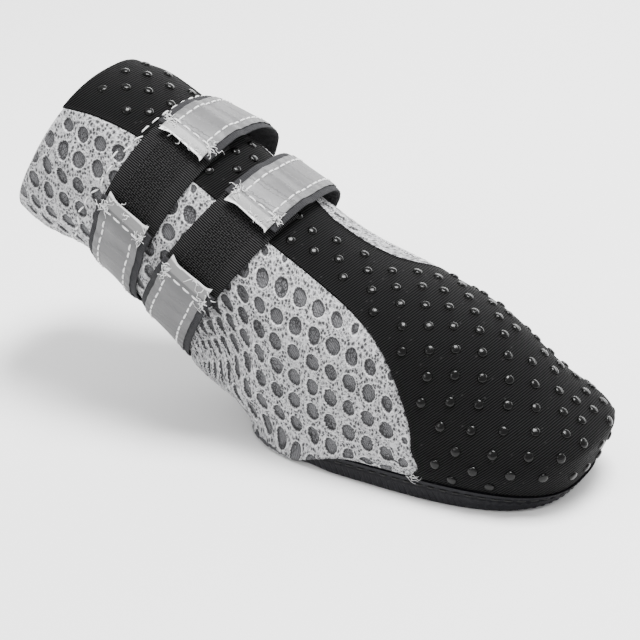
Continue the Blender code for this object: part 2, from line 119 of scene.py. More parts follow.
# Air mesh: steps of its hole lattice and half sizes of a hole, as laid flat on the side (x, z)
HOLE_STEPS = np.array([(0.17 * MM, -7.41 * MM), (5.92 * MM, -1.62 * MM)])
HOLE_HALF_WIDE = 2.05 * MM
HOLE_HALF_TALL = 2.65 * MM
HOLE_WAY = np.array((0.36, -0.933))
HOLE_DEPTH = 0.80 * MM
YARN_RIM = 0.20 * MM
EDGE_BORDER = 6.0 * MM
GATHER_LENGTH = 24.0 * MM
GATHER_EASE = 20.0 * MM
GATHER_PULL = 1.35
GATHER_DEPTH = 0.9 * MM
SLACK_DEPTH = 0.45 * MM
HEEL_DROOP = 4.3 * MM
HEEL_BULGE = 1.3 * MM
MESH_ROWS = 236
MESH_COLUMNS = 350
UNDER_COLUMNS = 12
LINING_ROWS = 30

# Dotted panel: its grid, and the share of its near half that it reaches past the ridge
PANEL_ROWS = 210
PANEL_COLUMNS = 84
PANEL_ROLL = 0.30 * MM
FAR_SECTIONS = (1.0, 5.6, 5.95, 6.35, 6.6, 7.0, 7.5, 8.2, 8.8, 12.0)
FAR_SHARES = (1.0, 0.95, 0.80, 0.42, 0.28, 0.26, 0.26, 0.60, 0.80, 0.80)
TWILL_WAY = (-0.669, 0.010, 0.742)
TWILL_PITCH = 0.62

# Grip dots: one dot of each column from the collar to the toe as (section, turn)
DOT_STEP = 7.3 * MM
DOT_STEP_SHAFT = 8.8 * MM
DOT_EDGE_SHARE = 1.9 / 150.0
DOT_STARTS = (
    (11.53, 0.434), (11.09, 0.463), (10.71, 0.484), (10.57, 0.521), (10.28, 0.555),
    (9.75, 0.520), (9.35, 0.510), (9.04, 0.498), (8.81, 0.514), (8.50, 0.505),
    (8.21, 0.501), (7.80, 0.478), (7.58, 0.430), (7.30, 0.440), (7.04, 0.455),
    (6.45, 0.391), (6.70, 0.464), (6.07, 0.394), (6.29, 0.459), (5.67, 0.397),
    (6.11, 0.489), (5.53, 0.422), (5.38, 0.447),
    (5.16, 0.470), (4.71, 0.470), (4.89, 0.529), (4.27, 0.472), (4.45, 0.537),
    (4.02, 0.498), (4.18, 0.554), (3.74, 0.505), (3.68, 0.539), (3.30, 0.548),
    (2.90, 0.562), (2.50, 0.580),
)
DOT_PROFILE = ((1.43, -0.15), (1.42, 0.12), (1.27, 0.36), (0.90, 0.53), (0.42, 0.61))
DOT_TOP = 0.63
DOT_SIDES = 12
WALK_STEPS = 30

# Threads and hooks
STITCH_LENGTH = 2.9 * MM
STITCH_STEP = 3.5 * MM
STITCH_RADIUS = 0.27 * MM
TAPE_STITCH_INSET = 2.4 * MM
TAPE_STITCH_END = 0.020
TOPSTITCH_SECTION = 10.15
FRAY_LENGTH = 2.1 * MM
FRAY_RADIUS = 0.15 * MM
FRAY_SEEDS = {"lower": 5, "upper": 8}
HOOK_ROWS = range(-6, 7)
HOOK_ROW_STEP = 0.044
HOOK_STEP = 0.0063
HOOK_BED = 0.35 * MM
SELVEDGE = 0.25 * MM

# Sole's side
SIDE_COLUMNS = 720
SIDE_THICK = 1.4 * MM
RIB_PITCH = 1.8 * MM
RIB_SLANT = 2.2 * MM
RIB_DEPTH = 0.26 * MM
BLOCK_PITCH = 2.5 * MM
BLOCK_RISE = 2.6 * MM
BLOCK_DEPTH = 0.42 * MM
GROOVE_DEPTH = 0.45 * MM


def smooth_step(low, high, value):
    """0 below low, 1 above high and an S curve between them."""
    share = np.clip((value - low) / (high - low), 0.0, 1.0)
    return share * share * (3.0 - 2.0 * share)


def unit(vectors):
    """Each vector divided by its own length."""
    return vectors / np.maximum(np.linalg.norm(vectors, axis=-1, keepdims=True), 1e-12)


def travel(points):
    """Distance from the first point to each point of a line, or of each row of a grid."""
    steps = np.linalg.norm(np.diff(points, axis=-2), axis=-1).cumsum(axis=-1)
    return np.concatenate([np.zeros_like(steps[..., :1]), steps], axis=-1)


def shaft_frame():
    """Middle of the last foot section, the shaft's direction and its forward normal."""
    back_x, _, front_x = FOOT_SECTIONS[-1][:3]
    ankle = np.array([0.5 * (back_x + front_x) * SOLE_LENGTH, 0.0, 0.5 * (HEEL_HEIGHT + INSTEP_HEIGHT)])
    along = np.array([-math.cos(SHAFT_RISE), 0.0, math.sin(SHAFT_RISE)])
    forward = np.array([math.sin(SHAFT_RISE), 0.0, math.cos(SHAFT_RISE)])
    return ankle, along, forward


def section_table():
    """All sections in metres: back x and z, front x and z, half width, then the shares."""
    rows = []
    for back_x, back_z, front_x, front_z, half, *shape, rise, panel in FOOT_SECTIONS:
        back_rim, front_rim = (RIM_HEEL, RIM_TOE) if len(rows) >= RIM_SECTION else (0.0, 0.0)
        rows.append((back_x * SOLE_LENGTH, back_rim + back_z * (HEEL_HEIGHT - back_rim),
                     front_x * SOLE_LENGTH, front_rim + front_z * (INSTEP_HEIGHT - front_rim),
                     half * BALL_WIDTH, *shape, rise * RIM_SIDE_RISE, panel))
    ankle, along, forward = shaft_frame()
    for back_along, back_off, front_along, front_off, half, *shape, rise, panel in SHAFT_SECTIONS:
        back = ankle + back_along * SHAFT_LENGTH * along + back_off * SHAFT_DEPTH * forward
        front = ankle + front_along * SHAFT_LENGTH * along + front_off * SHAFT_DEPTH * forward
        rows.append((back[0], back[2], front[0], front[2],
                     half * SHAFT_WIDTH, *shape, rise * RIM_SIDE_RISE, panel))
    return np.array(rows)


SECTIONS = section_table()


def blend_sections(section):
    """Smooth curve through the section table at fractional section numbers."""
    last = len(SECTIONS) - 1
    section = np.clip(section, 0.0, last)
    start = np.minimum(section.astype(int), last - 1)
    share = (section - start)[..., None]
    here = SECTIONS[start]
    after = SECTIONS[start + 1]
    before = np.where((start > 0)[..., None], SECTIONS[np.maximum(start - 1, 0)], 2.0 * here - after)
    beyond = np.where((start + 2 <= last)[..., None], SECTIONS[np.minimum(start + 2, last)],
                      2.0 * after - here)
    slope = (after - before) * share
    bend = (2.0 * before - 5.0 * here + 4.0 * after - beyond) * share ** 2
    twist = (3.0 * here - before - 3.0 * after + beyond) * share ** 3
    return here + 0.5 * (slope + bend + twist)


def boot_points(section, turn):
    """Outer form: a rounded loop for each section, |ahead|^p and |side|^p along a turn."""
    row = blend_sections(section)
    back_x, back_z, front_x, front_z, half, widest, sq_front, sq_back, rise, _ = np.moveaxis(row, -1, 0)
    angle = 2.0 * math.pi * turn
    ahead = -np.cos(angle)
    side = np.sin(angle)
    power = 2.0 / np.where(ahead > 0.0, sq_front, sq_back)
    reach = np.sign(ahead) * np.abs(ahead) ** power
    spread = np.sign(side) * np.abs(side) ** power
    along = np.where(ahead > 0.0, widest + (1.0 - widest) * reach, widest + widest * reach)
    x = back_x + (front_x - back_x) * along
    rise_power = np.where(ahead > 0.0, RISE_POWER_FRONT, RISE_POWER_BACK)
    z = back_z + (front_z - back_z) * along + rise * np.abs(side) ** rise_power
    return np.stack([x, -half * spread, z], axis=-1)


def boot_normals(section, turn):
    """Outward directions of the form, from small steps along both ways."""
    low = np.maximum(section - 0.02, RIM_SECTION)
    high = np.minimum(section + 0.02, COLLAR_SECTION)
    up = boot_points(high, turn) - boot_points(low, turn)
    round_way = boot_points(section, turn + 0.002) - boot_points(section, turn - 0.002)
    return unit(np.cross(round_way, up))


def ground_height(x):
    """Underside of the sole: flat at heel and ball, lifted at the waist and the toe."""
    middle = 0.5 * (HEEL_FLAT_END + BALL_FLAT_START)
    waist = smooth_step(HEEL_FLAT_END, middle, x) * (1.0 - smooth_step(middle, BALL_FLAT_START, x))
    toe = np.maximum(x - BALL_FLAT_END, 0.0) / SPRING_LENGTH
    return WAIST_LIFT * waist + TOE_SPRING * toe ** 2


def even_rows(count):
    """Section numbers from the rim to the collar whose loops are evenly spaced along the side."""
    fine = np.linspace(RIM_SECTION, COLLAR_SECTION, 600)
    length = sum(travel(boot_points(fine, np.full(fine.shape, turn))) for turn in (0.02, 0.14, 0.27))
    return np.interp(np.linspace(0.0, length[-1], count), length, fine)


def ripple(points, scale):
    """Soft unevenness between -1 and 1: a product of slow waves along each way."""
    x, y, z = np.moveaxis(points * scale, -1, 0)
    return (np.sin(x * 211.0 + 1.3 * np.sin(z * 173.0)) * np.sin(z * 187.0 + 0.7)
            * np.cos(y * 149.0 + 1.1 * np.sin(x * 97.0)))


# Meshes


def lay_grid(name, points, uv, close_rows=False, close_columns=False, values=None):
    """Quads between neighbours of a grid; uv holds the closing row or column too."""
    rows, columns = points.shape[:2]
    r = np.arange(rows + int(close_rows)) % rows
    c = np.arange(columns + int(close_columns)) % columns
    number = r[:, None] * columns + c[None, :]
    quads = np.stack([number[:-1, :-1], number[:-1, 1:], number[1:, 1:], number[1:, :-1]], axis=-1)
    mesh = bpy.data.meshes.new(name)
    mesh.from_pydata(points.reshape(-1, 3).tolist(), [], quads.reshape(-1, 4).tolist())
    corners = np.stack([uv[:-1, :-1], uv[:-1, 1:], uv[1:, 1:], uv[1:, :-1]], axis=-2)
    layer = mesh.uv_layers.new(name="cloth")
    layer.data.foreach_set("uv", corners.astype(np.float32).ravel())
    for key, value in (values or {}).items():
        spot = mesh.attributes.new(key, "FLOAT", "POINT")
        spot.data.foreach_set("value", value.astype(np.float32).ravel())
    return mesh


def plain_uv(along, across):
    """A flat millimetre map for a grid: along for each row, across for each column."""
    return np.stack(np.broadcast_arrays(across[None, :], along[:, None]), axis=-1) / MM


def finish_piece(name, mesh, materials, replaces=(), angle=80.0):
    """Put a mesh into the scene, smooth it, dress it and let it ride on the boot."""
    mesh.shade_smooth()
    mesh.set_sharp_from_angle(angle=math.radians(angle))
    piece = bpy.data.objects.new(name, mesh)
    bpy.context.scene.collection.objects.link(piece)
    for material in materials:
        mesh.materials.append(material)
    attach(piece, "root")
    if replaces:
        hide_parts(*replaces)
    return piece


def close_ends(mesh, rows, around, mirror):
    """Close the first and last rings of a flat loop by strips between its two faces.

    The point at place s in a ring lies across from the point at place mirror - s.
    """
    work = bmesh.new()
    work.from_mesh(mesh)
    work.verts.ensure_lookup_table()
    for first in (0, (rows - 1) * around):
        for spot in range(around // 2):
            corners = (spot, spot + 1, (mirror - spot - 1) % around, (mirror - spot) % around)
            corners = list(dict.fromkeys(corners))
            if len(corners) > 2:
                work.faces.new([work.verts[first + corner] for corner in corners])
    bmesh.ops.recalc_face_normals(work, faces=work.faces)
    work.to_mesh(mesh)
    work.free()


def circle(around):
    """Cosine and sine of even angles round a ring."""
    angle = np.arange(around) / around * 2.0 * math.pi
    return np.cos(angle), np.sin(angle)


def ring_faces(rings, around):
    """Faces between the neighbouring rings of a tube."""
    spots = [(spot, (spot + 1) % around) for spot in range(around)]
    return [(first + spot, first + after, first + around + after, first + around + spot)
            for first in range(0, (rings - 1) * around, around) for spot, after in spots]


def tube_faces(rings, around):
    """Faces of a tube that is closed at both ends."""
    last = (rings - 1) * around
    start, end = tuple(range(around - 1, -1, -1)), tuple(range(last, last + around))
    return [start, *ring_faces(rings, around), end]


def turned_shape(profile, around, top, bottom):
    """A turned shape: rings of a profile of (radius, height), closed at top and bottom."""
    cos, sin = circle(around)
    rings = [np.stack([r * cos, r * sin, np.full(around, h)], axis=1) for r, h in profile]
    points = np.concatenate(rings + [np.array([[0.0, 0.0, top], [0.0, 0.0, bottom]])])
    faces = ring_faces(len(profile), around)
    pole = len(profile) * around
    for spot in range(around):
        after = (spot + 1) % around
        faces += [(pole - around + spot, pole - around + after, pole), (after, spot, pole + 1)]
    return points, faces


def tube_shape(spine, radii, around):
    """A tube along a spine in the X-Z plane, its rings square to X and closed at both ends."""
    cos, sin = circle(around)
    rings = [np.stack([np.full(around, x), r * cos, z + r * sin], axis=1)
             for (x, z), r in zip(spine, radii)]
    return np.concatenate(rings), tube_faces(len(spine), around)


def repeat_shape(name, points, faces):
    """A mesh of copies: points holds the points of each copy, and all have the same faces."""
    first = np.arange(len(points)) * points.shape[1]
    lists = [corners for face in faces for corners in (np.array(face) + first[:, None]).tolist()]
    mesh = bpy.data.meshes.new(name)
    mesh.from_pydata(points.reshape(-1, 3).tolist(), [], lists)
    return mesh


def scatter(name, shape, faces, origins, axes):
    """Copies of a small shape: each origin plus the shape's points along its own three axes."""
    return repeat_shape(name, origins[:, None, :] + np.einsum("vk,nkj->nvj", shape, axes), faces)


def along_line(points, normals, step):
    """Origins and axes at even steps along a line that has its own surface normals."""
    length = travel(points)
    at = np.arange(0.5 * step, length[-1] - 0.4 * step, step)

    def read(values, place):
        return np.stack([np.interp(place, length, values[:, k]) for k in range(3)], axis=1)

    way = unit(read(points, at + 0.2 * step) - read(points, at - 0.2 * step))
    across = unit(np.cross(unit(read(normals, at)), way))
    return read(points, at), np.stack([way, across, np.cross(way, across)], axis=1)


def stitch_row(name, lines, material, length=STITCH_LENGTH, step=STITCH_STEP,
               radius=STITCH_RADIUS):
    """Rows of stitches: short thread bumps whose ends dip into the cloth."""
    share = np.array([-1.0, -0.85, -0.45, 0.0, 0.45, 0.85, 1.0])
    thick = np.array([0.35, 0.75, 1.0, 1.0, 1.0, 0.75, 0.35])
    spine = [(0.5 * length * s, radius * (0.35 - 1.5 * s ** 4)) for s in share]
    shape, faces = tube_shape(spine, radius * thick, 8)
    found = [along_line(points, normals, step) for points, normals in lines]
    origins, axes = (np.concatenate(items) for items in zip(*found))
    return finish_piece(name, scatter(name, shape, faces, origins, axes), [material])


def loose_threads(name, roots, ways, ups, length, radius, seed, material):
    """Frayed threads: each a thin tube along root + way t + a curl that grows with t."""
    rows, around = 9, 5
    rng = np.random.default_rng(seed)
    count = len(roots)
    t = np.linspace(0.0, 1.0, rows)[None, :, None]
    size = (length * rng.uniform(0.5, 1.2, count))[:, None, None]
    across = unit(np.cross(ups, ways))
    lean = rng.uniform(-0.9, 0.9, (count, 1, 1))
    curl = rng.uniform(-0.35, 0.35, (count, 1, 1))
    lift = rng.uniform(0.05, 0.30, (count, 1, 1))
    path = (roots[:, None, :] + size * (ways[:, None, :] * t
            + across[:, None, :] * (lean * t + curl * np.sin(6.0 * t))
            + ups[:, None, :] * lift * np.sin(3.1 * t)))
    cos, sin = circle(around)
    ring = cos[:, None] * ups[:, None, None, :] - sin[:, None] * across[:, None, None, :]
    points = path[:, :, None, :] + radius * (1.0 - 0.6 * t)[..., None] * ring
    mesh = repeat_shape(name, points.reshape(count, -1, 3), tube_faces(rows, around))
    return finish_piece(name, mesh, [material])


# Shader groups and materials


class Nodes:
    """Adds nodes to one shader tree; most calls return the socket that they work out."""

    def __init__(self, tree):
        self.tree = tree

    def put(self, item, key, value):
        """Link a socket to a node's input, or set a plain value on it."""
        if isinstance(value, bpy.types.NodeSocket):
            self.tree.links.new(value, item.inputs[key])
        else:
            item.inputs[key].default_value = value

    def add(self, kind, inputs, **settings):
        """A node with its settings and its inputs."""
        item = self.tree.nodes.new("ShaderNode" + kind)
        for key, value in settings.items():
            setattr(item, key, value)
        for key, value in inputs.items():
            self.put(item, key, value)
        return item

    def calc(self, operation, *values):
        """A sum of plain values and sockets."""
        return self.add("Math", dict(enumerate(values)), operation=operation).outputs[0]

    def vector(self, operation, *values):
        """A sum of vectors."""
        return self.add("VectorMath", dict(enumerate(values)), operation=operation).outputs["Vector"]

    def ramp(self, value, low, high, to_low=0.0, to_high=1.0):
        """A value turned from low..high into to_low..to_high along an S curve."""
        ends = {"From Min": low, "From Max": high, "To Min": to_low, "To Max": to_high}
        return self.add("MapRange", {"Value": value, **ends},
                        interpolation_type="SMOOTHSTEP").outputs["Result"]

    def mix(self, factor, first, second):
        """A colour between two others."""
        return self.add("Mix", {"Factor": factor, "A": first, "B": second},
                        data_type="RGBA").outputs["Result"]

    def tint(self, colour, mask, share, shade):
        """A colour turned by a share towards a shade where a mask is 1."""
        return self.mix(self.calc("MULTIPLY", mask, share), colour, shade)

    def noise(self, vector, scale, detail=2.0, roughness=0.5):
        """Soft noise from 0 to 1."""
        return self.add("TexNoise", {"Vector": vector, "Scale": scale, "Detail": detail,
                                     "Roughness": roughness}).outputs["Fac"]

    def cells(self, vector, scale, randomness, feature="F1"):
        """Distance to a cell's centre or edge."""
        return self.add("TexVoronoi", {"Vector": vector, "Scale": scale, "Randomness": randomness},
                        feature=feature).outputs["Distance"]

    def ribs(self, vector, direction, pitch, unevenness):
        """Height of the fine ribs group."""
        return self.add("Group", {"Vector": vector, "Direction": direction, "Pitch": pitch,
                                  "Unevenness": unevenness}, node_tree=RIBS).outputs["Height"]

    def fibre(self, vector, scale, speck_scale, speck_share):
        """Height and specks of the cloth fibre group."""
        item = self.add("Group", {"Vector": vector, "Scale": scale, "Speck Scale": speck_scale,
                                  "Speck Share": speck_share}, node_tree=FIBRE)
        return item.outputs["Height"], item.outputs["Specks"]


class Finish(Nodes):
    """A Principled material with its coordinates: object ones in millimetres, and the cloth map."""

    def __init__(self, name, roughness, specular, plain):
        self.material = bpy.data.materials.new(name)
        self.material.use_nodes = True
        super().__init__(self.material.node_tree)
        self.shader = self.tree.nodes["Principled BSDF"]
        self.shader.inputs["Roughness"].default_value = roughness
        self.shader.inputs["Specular IOR Level"].default_value = specular
        for key, value in plain.items():
            self.shader.inputs[key].default_value = value
        place = self.add("TexCoord", {})
        scaled = self.add("VectorMath", {0: place.outputs["Object"], "Scale": 1000.0}, operation="SCALE")
        self.solid = scaled.outputs["Vector"]
        self.cloth = place.outputs["UV"]

    def value(self, name):
        """A value that the mesh holds at each point."""
        return self.add("Attribute", {}, attribute_name=name).outputs["Fac"]

    def dress(self, colour, height=None, depth=0.0, roughness=None):
        """Feed the shader a colour, a bump of a height from 0 to 1 times a depth, and roughness."""
        self.put(self.shader, "Base Color", colour)
        if height is not None:
            bump = self.add("Bump", {"Height": height, "Distance": depth * MM, "Strength": 1.0})
            self.put(self.shader, "Normal", bump.outputs["Normal"])
        if roughness is not None:
            self.put(self.shader, "Roughness", roughness)
        return self.material


def grey(value, blue=1.0):
    """An opaque grey, a little blue or warm."""
    return (value, value, value * blue, 1.0)


def new_group(name, inputs, outputs):
    """An empty node group with named sockets: the group, its nodes, its inputs and its end."""
    group = bpy.data.node_groups.new(name, "ShaderNodeTree")
    for label, value in inputs.items():
        kind = "NodeSocketFloat" if isinstance(value, float) else "NodeSocketVector"
        socket = group.interface.new_socket(label, in_out="INPUT", socket_type=kind)
        if value is not None:
            socket.default_value = value
    for label in outputs:
        group.interface.new_socket(label, in_out="OUTPUT", socket_type="NodeSocketFloat")
    start, end = group.nodes.new("NodeGroupInput"), group.nodes.new("NodeGroupOutput")
    return group, Nodes(group), start.outputs, end


def make_ribs_group():
    """Fine ribs: a sine of the place along a direction, in pitches, roughened by noise."""
    inputs = {"Vector": None, "Direction": (1.0, 0.0, 0.0), "Pitch": 1.0, "Unevenness": 0.3}
    group, nodes, given, end = new_group("fine_ribs", inputs, ("Height",))
    along = nodes.add("VectorMath", {0: given["Vector"], 1: given["Direction"]},
                      operation="DOT_PRODUCT").outputs["Value"]
    shift = nodes.calc("MULTIPLY", nodes.noise(given["Vector"], 0.9), given["Unevenness"])
    phase = nodes.calc("ADD", nodes.calc("DIVIDE", along, given["Pitch"]), shift)
    wave = nodes.calc("SINE", nodes.calc("MULTIPLY", phase, 2.0 * math.pi))
    nodes.put(end, "Height", nodes.calc("MULTIPLY_ADD", wave, 0.5, 0.5))
    return group


def make_fibre_group():
    """Fibres and lint: fine noise for height, and sparse light specks as a mask."""
    inputs = {"Vector": None, "Scale": 2.0, "Speck Scale": 1.0, "Speck Share": 0.1}
    group, nodes, given, end = new_group("cloth_fibre", inputs, ("Height", "Specks"))
    cells = nodes.add("TexVoronoi", {"Vector": given["Vector"], "Scale": given["Speck Scale"]})
    near = nodes.calc("LESS_THAN", cells.outputs["Distance"], 0.28)
    pick = nodes.add("SeparateColor", {"Color": cells.outputs["Color"]}).outputs["Red"]
    chosen = nodes.calc("LESS_THAN", pick, given["Speck Share"])
    nodes.put(end, "Height", nodes.noise(given["Vector"], given["Scale"], 4.0, 0.65))
    nodes.put(end, "Specks", nodes.calc("MULTIPLY", near, chosen))
    return group


RIBS = make_ribs_group()
FIBRE = make_fibre_group()

# Plain finishes. Fibre: scale, speck scale and speck share. Ribs: map, direction, pitch and
# unevenness. Tops: where the light rib tops begin. Relief: shares of ribs and fibre in the bump.
PLAIN_FINISHES = {
    # Soft grey brushed lining
    "brushed_lining": {
        "roughness": 0.9, "specular": 0.2, "dark": grey(0.04, 1.05), "light": grey(0.09, 1.05),
        "fibre": (2.2, 0.8, 0.15), "ribs": ("solid", (0.6, 0.5, 0.6), 0.9, 0.6),
        "relief": (0.5, 1.0), "depth": 0.2},
    # Black diagonal twill, its rib tops a little lighter, with stray lint
    "dotted_twill": {
        "roughness": 0.70, "specular": 0.04, "dark": grey(0.0012), "light": grey(0.0165, 1.03),
        "fibre": (2.6, 0.9, 0.05), "ribs": ("solid", TWILL_WAY, TWILL_PITCH, 0.12), "tops": 0.50,
        "dull": (0.5, grey(0.004)), "specks": (0.35, grey(0.04)), "relief": (1.0, 0.35), "depth": 0.22},
    # Glossy black grip dots
    "grip_dot": {
        "roughness": 0.20, "specular": 0.16, "dark": grey(0.001), "light": grey(0.003),
        "fibre": (1.2, 1.5, 0.06), "gloss": (0.3, 0.75, 0.14, 0.24), "depth": 0.08,
        "plain": {"Coat Weight": 0.05, "Coat Roughness": 0.10}},
    # Brushed black loop webbing: cross ribs under a fuzz of fibres
    "loop_webbing": {
        "roughness": 0.85, "specular": 0.10, "dark": grey(0.006, 1.05), "light": grey(0.042, 1.08),
        "fibre": (3.0, 1.4, 0.12), "ribs": ("cloth", (0.0, 1.0, 0.0), 0.7, 0.5),
        "specks": (0.25, grey(0.05, 1.05)), "relief": (0.45, 1.0), "depth": 0.25,
        "plain": {"Sheen Weight": 0.02}},
    # Black hook webbing with fine cross ribs
    "hook_webbing": {
        "roughness": 0.7, "specular": 0.05, "dark": grey(0.0005), "light": grey(0.045, 1.03),
        "fibre": (3.0, 1.2, 0.1), "ribs": ("cloth", (0.0, 1.0, 0.0), 0.62, 0.1), "tops": 0.70,
        "specks": (0.3, grey(0.03)), "relief": (1.0, 0.4), "depth": 0.15},
    # Stiff black hooks that catch the light
    "nylon_hook": {
        "roughness": 0.40, "specular": 0.15, "dark": grey(0.0005), "light": grey(0.035),
        "fibre": (0.9, 1.0, 0.2), "depth": 0.05},
    # Sewing threads: twisted strands shown as fine ribs
    "white_thread": {
        "roughness": 0.6, "specular": 0.35, "dark": grey(0.55), "light": grey(0.85),
        "ribs": ("solid", (0.7, 0.5, 0.5), 0.32, 0.4), "depth": 0.06},
    "black_thread": {
        "roughness": 0.6, "specular": 0.35, "dark": grey(0.001), "light": grey(0.006),
        "ribs": ("solid", (0.7, 0.5, 0.5), 0.32, 0.4), "depth": 0.06},
    # Blue-black moulded rubber with a satin grain and dust
    "moulded_rubber": {
        "roughness": 0.5, "specular": 0.16, "dark": grey(0.0025, 1.3), "light": grey(0.008, 1.3),
        "fibre": (1.8, 0.7, 0.06), "specks": (0.3, grey(0.03, 1.05)),
        "gloss": (0.3, 0.7, 0.42, 0.62), "depth": 0.12},
    # Dark cloth-faced foam
    "insole_foam": {
        "roughness": 0.92, "specular": 0.2, "dark": grey(0.02), "light": grey(0.05),
        "fibre": (2.4, 0.9, 0.1), "ribs": ("solid", (1.0, 0.0, 0.0), 1.3, 0.3),
        "relief": (0.6, 1.0), "depth": 0.2},
}


def plain_finish(name, roughness, specular, dark, light, depth, fibre=None, ribs=None, tops=None,
                 dull=None, specks=None, relief=(1.0, 1.0), gloss=None, plain=()):
    """A material from one row of the table.

    Its colour runs from dark to light over the fibres, the ribs or the rib tops, dulled by the
    fibres and sown with specks of lint. Bump height = share of ribs + share of fibre.
    """
    cloth = Finish(name, roughness, specular, dict(plain))
    heights = []
    if ribs is not None:
        vector = cloth.solid if ribs[0] == "solid" else cloth.cloth
        heights.append(cloth.ribs(vector, *ribs[1:]))
    if fibre is not None:
        fuzz, lint = cloth.fibre(cloth.solid, *fibre)
        heights.append(fuzz)
    factor = heights[-1] if tops is None else cloth.ramp(heights[0], tops, 1.0)
    colour = cloth.mix(factor, dark, light)
    if dull is not None:
        colour = cloth.tint(colour, fuzz, *dull)
    if specks is not None:
        colour = cloth.tint(colour, lint, *specks)
    height = heights[0]
    if len(heights) == 2:
        height = cloth.calc("MULTIPLY_ADD", heights[0], relief[0],
                            cloth.calc("MULTIPLY", heights[1], relief[1]))
    rough = cloth.ramp(fuzz, *gloss) if gloss is not None else None
    return cloth.dress(colour, height, depth, rough)


def air_mesh_material():
    """Knitted mesh: silver yarn with dark pinholes, and a grey backing seen through its holes."""
    knit = Finish("air_mesh", 0.75, 0.2, {"Sheen Weight": 0.12})
    fray = knit.calc("SUBTRACT", knit.noise(knit.solid, 1.7, 3.0, 0.6), 0.5)
    edge = knit.calc("ADD", knit.value("hole"), knit.calc("MULTIPLY", fray, 0.30))
    fibre, _ = knit.fibre(knit.solid, 2.2, 0.62, 0.75)
    bend = knit.add("TexNoise", {"Vector": knit.cloth, "Scale": 0.9, "Detail": 2.0}).outputs["Color"]
    bent = knit.vector("MULTIPLY_ADD", bend, (0.7, 0.7, 0.0), knit.cloth)
    loops = knit.vector("MULTIPLY", bent, (1.0, 0.74, 1.0))
    thread = knit.ramp(knit.cells(loops, 1.15, 0.85, "DISTANCE_TO_EDGE"), 0.04, 0.20, 1.0, 0.0)
    pinhole = knit.ramp(knit.cells(loops, 1.15, 0.85), 0.24, 0.50, 1.0, 0.0)
    pinhole = knit.calc("MULTIPLY", pinhole, knit.ramp(edge, 1.08, 1.20))
    rim = knit.calc("MULTIPLY", knit.ramp(edge, 0.98, 1.04), knit.ramp(edge, 1.08, 1.16, 1.0, 0.0))
    yarn = knit.mix(knit.ramp(fibre, 0.36, 0.64), grey(0.07, 1.06), grey(0.36, 1.03))
    yarn = knit.tint(yarn, thread, 0.50, grey(0.62, 1.02))
    yarn = knit.tint(yarn, rim, 0.55, grey(0.75, 1.01))
    yarn = knit.tint(yarn, pinhole, 0.93, grey(0.02, 1.1))
    weave = knit.ribs(knit.cloth, (0.8, 0.6, 0.0), 0.55, 1.0)
    backing = knit.mix(weave, grey(0.060, 1.06), grey(0.125, 1.05))
    patches = knit.ramp(knit.noise(knit.cloth, 0.17, 0.0), 0.46, 0.58)
    strand = knit.ramp(knit.cells(knit.cloth, 0.85, 1.0, "DISTANCE_TO_EDGE"), 0.03, 0.13, 1.0, 0.0)
    backing = knit.tint(backing, knit.calc("MULTIPLY", strand, patches), 0.85, grey(0.012, 1.1))
    # Painted shade: the backing turns dark towards each hole's edge, as if shadowed by the yarn round it.
    backing = knit.mix(knit.ramp(edge, 0.62, 0.94), backing, grey(0.022, 1.08))
    colour = knit.mix(knit.ramp(edge, 0.90, 1.02), backing, yarn)
    # Painted shade: the cloth is darkened in the folds gathered beside the lower strap.
    colour = knit.tint(colour, knit.value("fold_sink_and_painted_shade"), 0.85, grey(0.012, 1.1))
    height = knit.calc("MULTIPLY_ADD", thread, 0.6, knit.calc("MULTIPLY", fibre, 0.6))
    height = knit.calc("SUBTRACT", height, knit.calc("MULTIPLY", pinhole, 0.8))
    return knit.dress(colour, height, 0.40)


def tape_material():
    """Silver reflective tape: fine beads, faint creases, rubbed patches and pale cut ends."""
    tape = Finish("reflective_tape", 0.45, 0.25, {"Metallic": 0.25})
    beads = tape.noise(tape.solid, 7.0)
    worn = tape.ramp(tape.noise(tape.solid, 0.16, 3.0), 0.45, 0.75)
    near_end = tape.value("from_end")
    colour = tape.mix(beads, grey(0.078, 1.02), grey(0.120, 1.02))
    colour = tape.tint(colour, worn, 0.35, grey(0.16, 1.02))
    colour = tape.mix(tape.ramp(near_end, 3.2, 3.6, 0.7, 0.0), colour, grey(0.22))
    colour = tape.mix(tape.ramp(near_end, 0.25, 0.6, 0.8, 0.0), colour, grey(0.75))
    creases = tape.ramp(tape.ribs(tape.cloth, (0.12, 1.0, 0.0), 5.5, 0.5), 0.7, 1.0)
    height = tape.calc("MULTIPLY_ADD", creases, 0.9, tape.calc("MULTIPLY", beads, 0.25))
    return tape.dress(colour, height, 0.12, tape.ramp(beads, 0.3, 0.7, 0.38, 0.55))


def floor_material():
    """Plain pale floor."""
    floor = Finish("pale_floor", 0.9, 0.2, {})
    return floor.dress(floor.mix(floor.noise(floor.solid, 0.01), grey(0.90), grey(0.92)))


# Upper


def strap_plane(name):
    """A point on the strap's middle plane and the plane's direction towards the collar."""
    ankle, shaft, forward = shaft_frame()
    along = FIRST_STRAP * SHAFT_LENGTH
    below = None
    for strap in STRAPS:
        half = 0.5 * STRAP_WIDTH / math.cos(strap["lean"])
        if below is not None:
            along += below + STRAP_BACK_GAP + half
        if strap["name"] == name:
            break
        below = half
    point = ankle + along * shaft - 0.5 * SHAFT_DEPTH * forward
    angle = SHAFT_RISE + strap["lean"]
    return point, np.array([-math.cos(angle), 0.0, math.sin(angle)])


